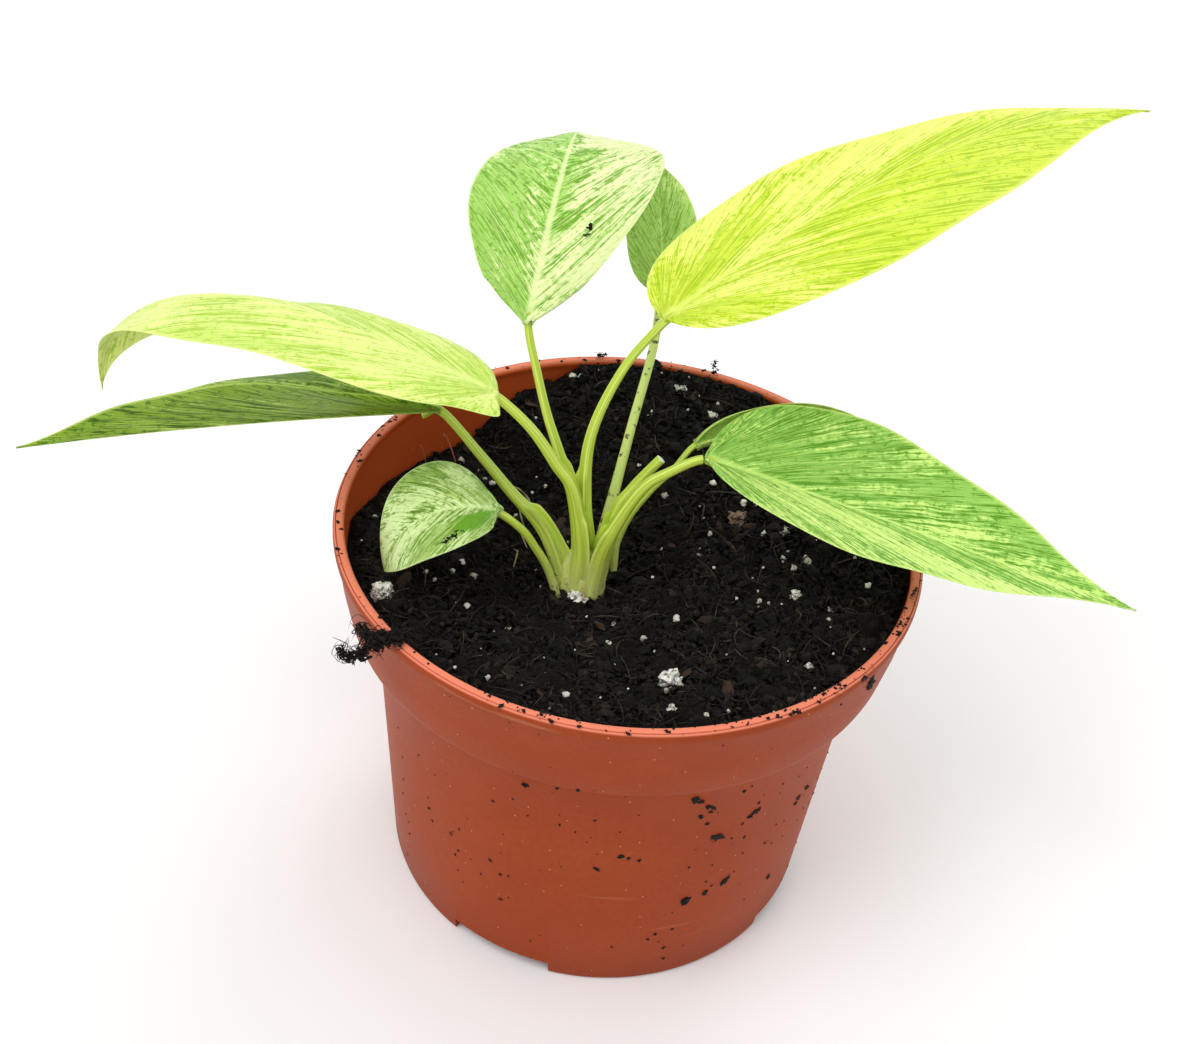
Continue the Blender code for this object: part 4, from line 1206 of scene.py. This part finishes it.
def soil_bed_surface(lump_height):
    """place for grid(): across runs round the pot, along from the bottom's middle to the top's."""
    def place(across, along):
        angle = 2 * math.pi * across
        edge = soil_edge_height(angle)
        wall = np.minimum(inner_radius(edge), RIM_RADIUS - LIP_WIDTH) + 0.0001
        bottom, side = 0.05, 0.14
        low = inner_radius(np.full_like(edge, FLOOR_TOP)) - 0.0022
        radius = np.where(along < bottom, low * along / bottom, 0.0)
        z = np.full_like(edge, FLOOR_TOP + 0.0003)
        climb = np.clip((along - bottom) / (side - bottom), 0, 1)
        rising = (along >= bottom) & (along < side)
        z = np.where(rising, z + (edge - z) * climb, z)
        radius = np.where(rising, np.minimum(inner_radius(z) - 0.0004, wall), radius)
        top = along >= side
        share = 1 - (along - side) / (1 - side)
        radius = np.where(top, wall * share, radius)
        x, y = radius * np.cos(angle), radius * np.sin(angle)
        z = np.where(top, soil_height(x, y), z)
        points = np.stack([x, y, z], -1)
        chosen = np.flatnonzero(top)
        lumps = noise_at(points[chosen], *SOIL_LUMPS)
        lumps = lumps + 0.5 * noise_at(points[chosen], *SOIL_TUFTS)
        fade = smoothstep((1 - share[chosen]) / 0.03)
        points[chosen, 2] += lump_height * lumps * (0.35 + 0.65 * fade)
        points[chosen, 2] = np.minimum(points[chosen, 2], POT_HEIGHT + 0.0012)
        return points
    return place


class PLANT_OT_soil(bpy.types.Operator):
    """Models the bed of potting mix with its lumpy surface"""
    bl_idname = "plant.soil"
    bl_label = "Potting Mix"

    def execute(self, context):
        settings = context.scene.potted_plant.soil
        bed = closed_grid("soil_bed", *SOIL_GRID, soil_bed_surface(settings.roughness))
        finish_piece(bed, soil_finish(settings), "potting_mix", "potting_soil", smooth=80)
        return {"FINISHED"}


def spots_on_soil(random, count, rise, reach=SOIL_REACH):
    """Random points on the soil's surface, with a random rise."""
    angle = random.uniform(0, 2 * math.pi, count)
    edge = soil_edge_height(angle)
    wall = np.minimum(inner_radius(edge), RIM_RADIUS - LIP_WIDTH)
    radius = wall * reach * np.sqrt(random.random(count))
    x, y = radius * np.cos(angle), radius * np.sin(angle)
    return np.stack([x, y, soil_height(x, y) + random.uniform(*rise, count)], -1)


class PLANT_OT_litter(bpy.types.Operator):
    """Strews crumbs, grit, fibres, bark and perlite bits over the potting mix"""
    bl_idname = "plant.litter"
    bl_label = "Soil Litter"

    def execute(self, context):
        settings = context.scene.potted_plant.soil
        random = np.random.default_rng(7)
        crumb_mat = tinted_finish("crumbly_peat", SOIL_STOPS, 0.8, 1400.0, 0.0006, 0.85)
        lumps = [pebble("crumb", 2, 0.9, k, (1.2, 0.9, 0.7)) for k in range(4)]
        count = settings.crumbs // 4
        spots = spots_on_soil(random, count, (-0.0004, 0.0008))
        sizes = 0.0005 + 0.0011 * random.random(count) ** 3
        crumbs = strew("soil_crumbs", lumps, spots, sizes, random_turns(random, count),
                       random.random(count) ** 1.6)
        finish_piece(crumbs, crumb_mat, "potting_mix", smooth=60)
        small = [pebble("grit", 1, 0.9, 20 + k, (1.3, 0.9, 0.8)) for k in range(4)]
        count = settings.crumbs
        spots = spots_on_soil(random, count, (0.0, 0.0013))
        sizes = 0.0002 + 0.0005 * random.random(count) ** 2
        grit = strew("soil_grit", small, spots, sizes, random_turns(random, count),
                     random.random(count) ** 1.1)
        finish_piece(grit, crumb_mat, "potting_mix", smooth=60)
        count = settings.fibres
        spots = spots_on_soil(random, count, (0.0004, 0.0016), 0.95)
        lengths = 0.0018 + 0.0075 * random.random(count) ** 2
        radii = 0.00006 + 0.00011 * random.random(count) ** 2
        fibres = strands("soil_fibres", spots, random.uniform(0, 2 * math.pi, count), lengths,
                         radii, lengths * random.normal(0, 0.16, count),
                         lengths * random.normal(0.04, 0.12, count), random.random(count) ** 1.1)
        fibre_mat = tinted_finish("peat_fibre", FIBRE_STOPS, 0.7, 1500.0, 0.0002, 0.6)
        finish_piece(fibres, fibre_mat, "potting_mix", smooth=60)
        chips = [pebble("chip", 2, 0.5, 40 + k, (1.7, 0.8, 0.28)) for k in range(3)]
        count = BARK_CHIPS
        spots = spots_on_soil(random, count, (0.0004, 0.0012), 0.93)
        bark = strew("bark_chips", chips, spots, 0.0006 + 0.0011 * random.random(count) ** 2,
                     random_turns(random, count, 0.5), random.random(count))
        finish_piece(bark, tinted_finish("bark", BARK_STOPS, 0.75, 700.0), "potting_mix")
        count = PERLITE_BITS
        spots = spots_on_soil(random, count, (0.0006, 0.0014), 0.96)
        bits = strew("perlite_bits", [pebble("bit", 2, 0.7, 50 + k) for k in range(3)], spots,
                     0.00018 + 0.0006 * random.random(count) ** 3, random_turns(random, count),
                     random.random(count))
        finish_piece(bits, tinted_finish("perlite_bit", BIT_STOPS, 0.8, 1200.0), "perlite_white")
        return {"FINISHED"}


class PLANT_OT_grains(bpy.types.Operator):
    """Models the larger perlite grains where the frame has them"""
    bl_idname = "plant.grains"
    bl_label = "Perlite Grains"

    def execute(self, context):
        white = perlite_finish("perlite", rgb(250, 248, 240), rgb(120, 108, 92))
        stained = perlite_finish("stained_perlite", rgb(150, 124, 108), rgb(70, 50, 42))
        kinds = [pebble("bit", 2, 0.9, 80 + k, (1.2, 0.9, 0.8)) for k in range(3)]
        names = [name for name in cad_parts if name.startswith("perlite_")]
        for seed, name in enumerate(sorted(names)):
            random = np.random.default_rng(seed)
            low, high = (np.array(corner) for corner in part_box(name))
            half = (high - low) / 2
            count = 9 if half[0] < 0.0012 else 18
            way = unit(random.normal(0, 1, (count, 3)))
            spots = (low + high) / 2 + way * half * random.uniform(0.2, 0.75, (count, 1))
            sizes = half[0] * random.uniform(0.30, 0.60, count)
            grain = strew(name.replace("perlite_", "grain_"), kinds, spots, sizes,
                          random_turns(random, count), random.random(count))
            brown = name == "perlite_brown"
            finish_piece(grain, stained if brown else white,
                         "perlite_stained" if brown else "perlite_white", name, smooth=70)
        return {"FINISHED"}


class PLANT_OT_clumps(bpy.types.Operator):
    """Models the fibrous soil clumps that lie on the rim"""
    bl_idname = "plant.clumps"
    bl_label = "Clumps on the Rim"

    def execute(self, context):
        dark = tinted_finish("clump_soil", SOIL_STOPS, 0.85, 900.0, 0.0004)
        lumps = [pebble("clump_lump", 2, 0.9, 70, (1.2, 0.9, 0.8)),
                 pebble("clump_sliver", 2, 0.8, 71, (2.4, 0.5, 0.4)),
                 pebble("clump_flake", 2, 0.9, 72, (1.7, 0.8, 0.3))]
        for name, clump in CLUMPS.items():
            random = np.random.default_rng(clump["seed"])
            lines = [smooth_route(spine, 60) for spine in clump["spines"]]
            count, hairs, thick = clump["lumps"], clump["hairs"], clump["thickness"]
            spots, taper = self.about(random, lines, count, thick * 0.40)
            body = strew(name + "_body", lumps, spots,
                         thick * taper * random.uniform(0.10, 0.36, count),
                         random_turns(random, count), random.random(count) ** 1.4)
            spots, _ = self.about(random, lines, hairs, thick * 0.45)
            lengths = thick * random.uniform(0.6, 2.2, hairs)
            hair = strands(name + "_hair", spots, random.uniform(0, 2 * math.pi, hairs), lengths,
                           thick * random.uniform(0.03, 0.075, hairs),
                           lengths * random.normal(0, 0.3, hairs),
                           lengths * random.normal(0, 0.4, hairs), random.random(hairs))
            select_only(body)
            hair.select_set(True)
            bpy.ops.object.join()
            body.name = name.replace("soil_crumb", "rim_clump")
            finish_piece(body, dark, "soil_crumb", name, smooth=60)
        return {"FINISHED"}

    @staticmethod
    def about(random, lines, count, spread):
        """Random points round the clump's lines, and how much it has thinned there."""
        share = random.random(count)
        which = random.random(count) < 0.3
        path = between(lines[0], share)
        path[which] = between(lines[-1], share[which])
        taper = 1 - 0.55 * share
        return path + random.normal(0, spread, (count, 3)) * taper[:, None], taper


def thread(name, route, radius):
    """A thin flattened strand that tapers along its route."""
    line, inner, side = stalk_frames(route)

    def place(across, along):
        angle = 2 * math.pi * across
        size = radius * np.clip(np.minimum(along, 1 - along) / 0.04, 0, 1) * (1 - 0.4 * along)
        rise, out = 0.5 * size * np.cos(angle), size * np.sin(angle)
        return (between(line, along) + between(inner, along) * rise[:, None]
                + between(side, along) * out[:, None])

    return closed_grid(name, *THREAD_GRID, place)


class PLANT_OT_dry_fibres(bpy.types.Operator):
    """Models the dry sheath strands behind the crown"""
    bl_idname = "plant.dry_fibres"
    bl_label = "Dry Strands"

    def execute(self, context):
        straw = tinted_finish("dry_sheath", ((0.0, rgb(110, 92, 62)), (1.0, rgb(196, 184, 146))),
                              0.6, 1400.0)
        red = tinted_finish("rootlet_skin", ((0.0, rgb(120, 44, 32)), (1.0, rgb(214, 116, 92))),
                            0.6, 1400.0)
        for name, route in DRY_FIBRES.items():
            strand = thread(name.replace("dry_fibre", "sheath_strand"), route, DRY_FIBRE_RADIUS)
            finish_piece(strand, straw, "dry_fibre", name)
        for threads, material in ((SCRAPS, straw), (ROOTLETS, red)):
            for name, (route, radius) in threads.items():
                finish_piece(thread(name, route, radius), material, "dry_fibre")
        return {"FINISHED"}


# -------- the plant


class PLANT_OT_crown(bpy.types.Operator):
    """Models the short ribbed stem that the petioles clasp"""
    bl_idname = "plant.crown"
    bl_label = "Stem Crown"

    def execute(self, context):
        settings = context.scene.potted_plant.plant
        line = smooth_route([point for point, _ in CROWN], 200)
        radii = np.array([radius for _, radius in CROWN])

        def place(across, along):
            angle = 2 * math.pi * across
            s = np.clip((along - CROWN_CAP) / (1 - 2 * CROWN_CAP), 0, 1)
            cap = np.sqrt(np.clip(np.minimum(along, 1 - along) / CROWN_CAP, 0, 1))
            radius = np.interp(s, np.linspace(0, 1, len(radii)), radii)
            ribs = 1 + 0.05 * np.cos(5 * angle + 3 * s) + 0.025 * np.cos(13 * angle)
            return between(line, s) + polar(radius * ribs * cap, angle, 0.0)

        crown = closed_grid("crown_sheaths", *CROWN_GRID, place)
        finish_piece(crown, crown_finish(settings), "crown_green", "stem_crown")
        return {"FINISHED"}


class PLANT_OT_petioles(bpy.types.Operator):
    """Models the petioles: fluted stalks that clasp the crown with winged sheaths"""
    bl_idname = "plant.petioles"
    bl_label = "Petioles"

    def execute(self, context):
        settings = context.scene.potted_plant.plant
        for seed, (name, stalk) in enumerate(PETIOLES.items(), start=1):
            route = [np.array(point) for point in stalk["route"]]
            route[0][2] -= FOOT_DEPTH
            leaf = LEAVES.get(name.replace("petiole", "leaf"))
            if leaf:
                forward, _, up = (v[0] for v in leaf_stations(leaf, np.array([0.0])))
                base = np.array(leaf["base"])
                route.append(base - up * (stalk["top"] + 0.0001) - forward * 0.0006)
                route.append(base - up * (stalk["top"] + 0.0005) + forward * LEAF_OVERLAP)
            piece = closed_grid(name.replace("petiole", "stalk"), STALK_SIDES, STALK_ROWS,
                                lambda a, b, s=stalk, r=route: stalk_surface(s, r, a, b))
            material = stalk_finish(name + "_skin", settings, seed,
                                    speckled=name == "petiole_back", cut=leaf is None)
            finish_piece(piece, material, "petiole_green", name, smooth=60)
        return {"FINISHED"}


class PLANT_OT_leaves(bpy.types.Operator):
    """Models the leaves: veined blades with a keel under the midrib and streaked colours"""
    bl_idname = "plant.leaves"
    bl_label = "Leaves"

    def execute(self, context):
        settings = context.scene.potted_plant.plant
        for name, leaf in LEAVES.items():
            blade = grid(name.replace("leaf", "blade"), BLADE_COLUMNS, BLADE_ROWS,
                         lambda a, b, leaf=leaf: leaf_surface(leaf, a, b))
            self.add_thickness(blade, leaf)
            finish_piece(blade, leaf_finish(name + "_skin", leaf, settings.gloss), leaf["slot"],
                         name, smooth=60)
        return {"FINISHED"}

    @staticmethod
    def add_thickness(blade, leaf):
        """Thin at the margins, and keeled under the midrib."""
        columns = BLADE_COLUMNS + 1
        index = np.arange(len(blade.data.vertices))
        across, along = index % columns / BLADE_COLUMNS, index // columns / BLADE_ROWS
        v, u = np.abs(2 * across - 1), along**ROW_CROWDING
        reach = half_width(leaf, u, 1)
        keel = (KEEL_THICKNESS - BLADE_THICKNESS) * (1 - u) ** 0.8 * hump(v * reach, KEEL_WIDTH)
        keel = keel * smoothstep(u / 0.06)
        thickness = BLADE_THICKNESS * (1 - 0.6 * smoothstep((v - 0.85) / 0.15)) + keel
        group = blade.vertex_groups.new(name="thickness")
        for i, weight in enumerate(thickness / KEEL_THICKNESS):
            group.add([i], float(min(weight, 1.0)), "REPLACE")
        in_edit_mode(blade, WELD)
        apply_modifier(blade, "SOLIDIFY", thickness=KEEL_THICKNESS, offset=-1.0,
                       vertex_group="thickness", thickness_vertex_group=0.0)


class PLANT_OT_leaf_scrap(bpy.types.Operator):
    """Lays a dark wisp of soil on the upright leaf and a smudge on the small left one"""
    bl_idname = "plant.leaf_scrap"
    bl_label = "Scraps on the Leaves"

    def execute(self, context):
        random = np.random.default_rng(31)
        kinds = [pebble("scrap", 2, 0.9, 90 + k, (2.2, 0.6, 0.35)) for k in range(3)]
        for name, across, along, spread, count, size in LEAF_SCRAPS:
            aside = across + random.normal(0, spread, count)
            up = along + random.normal(0, spread, count)
            spots = leaf_surface(LEAVES[name], aside, up) + [0, 0, 0.0001]
            scrap = strew(name.replace("leaf", "scrap"), kinds, spots,
                          size * random.uniform(0.5, 1.2, count), random_turns(random, count, 0.4),
                          random.random(count) * 0.5)
            dark = tinted_finish(scrap.name + "_soil", SOIL_STOPS, 0.8, 900.0)
            finish_piece(scrap, dark, "soil_crumb")
        return {"FINISHED"}


class PLANT_OT_hidden(bpy.types.Operator):
    """Gives the roots inside the soil their skin"""
    bl_idname = "plant.hidden"
    bl_label = "Roots"

    def execute(self, context):
        skin = root_finish()
        for name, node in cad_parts.items():
            if name.startswith("root_"):
                node.data.materials.clear()
                node.data.materials.append(skin)
        return {"FINISHED"}


# -------- the stage


def soft_lamp(name, place, power):
    lamp = bpy.data.lights.new(name, "AREA")
    lamp.shape = "DISK"
    lamp.size = LAMP_SIZE
    lamp.energy = power
    obj = bpy.data.objects.new(name, lamp)
    bpy.context.scene.collection.objects.link(obj)
    obj.location = place
    obj.rotation_euler = (Vector(LAMP_AIM) - Vector(place)).to_track_quat("-Z", "Y").to_euler()


class PLANT_OT_stage(bpy.types.Operator):
    """Lays the floor, hangs the lamps and sets up the camera"""
    bl_idname = "plant.stage"
    bl_label = "Stage"

    def execute(self, context):
        settings = context.scene.potted_plant.stage
        scene = context.scene
        bpy.ops.mesh.primitive_plane_add(size=FLOOR_SIZE, location=(0, 0, 0))
        floor = start_mesh("floor")
        finish = Finish("pale_floor", roughness=0.9)
        tone = finish.noise(finish.object_place(), 3.0, 1.0)
        colour = tuple(settings.floor_colour)
        finish.set("Base Color", finish.mix(tone * 0.02, colour, (0.9, 0.9, 0.9)))
        floor.data.materials.append(finish.material)
        world = bpy.data.worlds.new("soft_white")
        scene.world = world
        world.use_nodes = True
        background = world.node_tree.nodes["Background"]
        background.inputs["Color"].default_value = (1, 1, 1, 1)
        background.inputs["Strength"].default_value = settings.sky
        soft_lamp("key", KEY_PLACE, settings.key)
        soft_lamp("back", BACK_PLACE, settings.key * BACK_SHARE)
        camera = bpy.data.cameras.new("camera")
        camera.sensor_width = 36.0
        camera.lens = CAMERA_LENS
        camera.clip_start = 0.01
        obj = bpy.data.objects.new("camera", camera)
        scene.collection.objects.link(obj)
        level = Vector(CAMERA_FORWARD).to_track_quat("-Z", "Y").to_matrix()
        roll = Matrix.Rotation(math.radians(CAMERA_ROLL), 3, "Z")
        obj.matrix_world = Matrix.Translation(CAMERA_PLACE) @ (level @ roll).to_4x4()
        scene.camera = obj
        scene.view_settings.view_transform = "Standard"
        return {"FINISHED"}


class PLANT_PT_panel(bpy.types.Panel):
    """Lists the pieces of the potted plant"""
    bl_idname = "PLANT_PT_panel"
    bl_label = "Potted Philodendron"
    bl_space_type = "VIEW_3D"
    bl_region_type = "UI"
    bl_category = "Plant"

    def draw(self, context):
        settings = context.scene.potted_plant
        for group in (settings.pot, settings.soil, settings.plant, settings.stage):
            box = self.layout.box()
            for name in group.bl_rna.properties.keys():
                if name not in ("rna_type", "name"):
                    box.prop(group, name)
        for operator in OPERATORS:
            self.layout.operator(operator.bl_idname)


OPERATORS = (PLANT_OT_stage, PLANT_OT_pot, PLANT_OT_pot_dirt, PLANT_OT_soil, PLANT_OT_litter,
             PLANT_OT_grains, PLANT_OT_clumps, PLANT_OT_dry_fibres, PLANT_OT_crown,
             PLANT_OT_petioles, PLANT_OT_leaves, PLANT_OT_leaf_scrap, PLANT_OT_hidden)
CLASSES = (PotSettings, SoilSettings, PlantSettings, StageSettings, PottedPlant, *OPERATORS,
           PLANT_PT_panel)


def register():
    for cls in CLASSES:
        bpy.utils.register_class(cls)
    bpy.types.Scene.potted_plant = PointerProperty(type=PottedPlant)


def unregister():
    del bpy.types.Scene.potted_plant
    for cls in reversed(CLASSES):
        bpy.utils.unregister_class(cls)


def main():
    register()
    bpy.ops.plant.stage()
    bpy.ops.plant.pot()
    bpy.ops.plant.pot_dirt()
    bpy.ops.plant.soil()
    bpy.ops.plant.litter()
    bpy.ops.plant.grains()
    bpy.ops.plant.clumps()
    bpy.ops.plant.dry_fibres()
    bpy.ops.plant.crown()
    bpy.ops.plant.petioles()
    bpy.ops.plant.leaves()
    bpy.ops.plant.leaf_scrap()
    bpy.ops.plant.hidden()


if __name__ == "__main__":
    main()
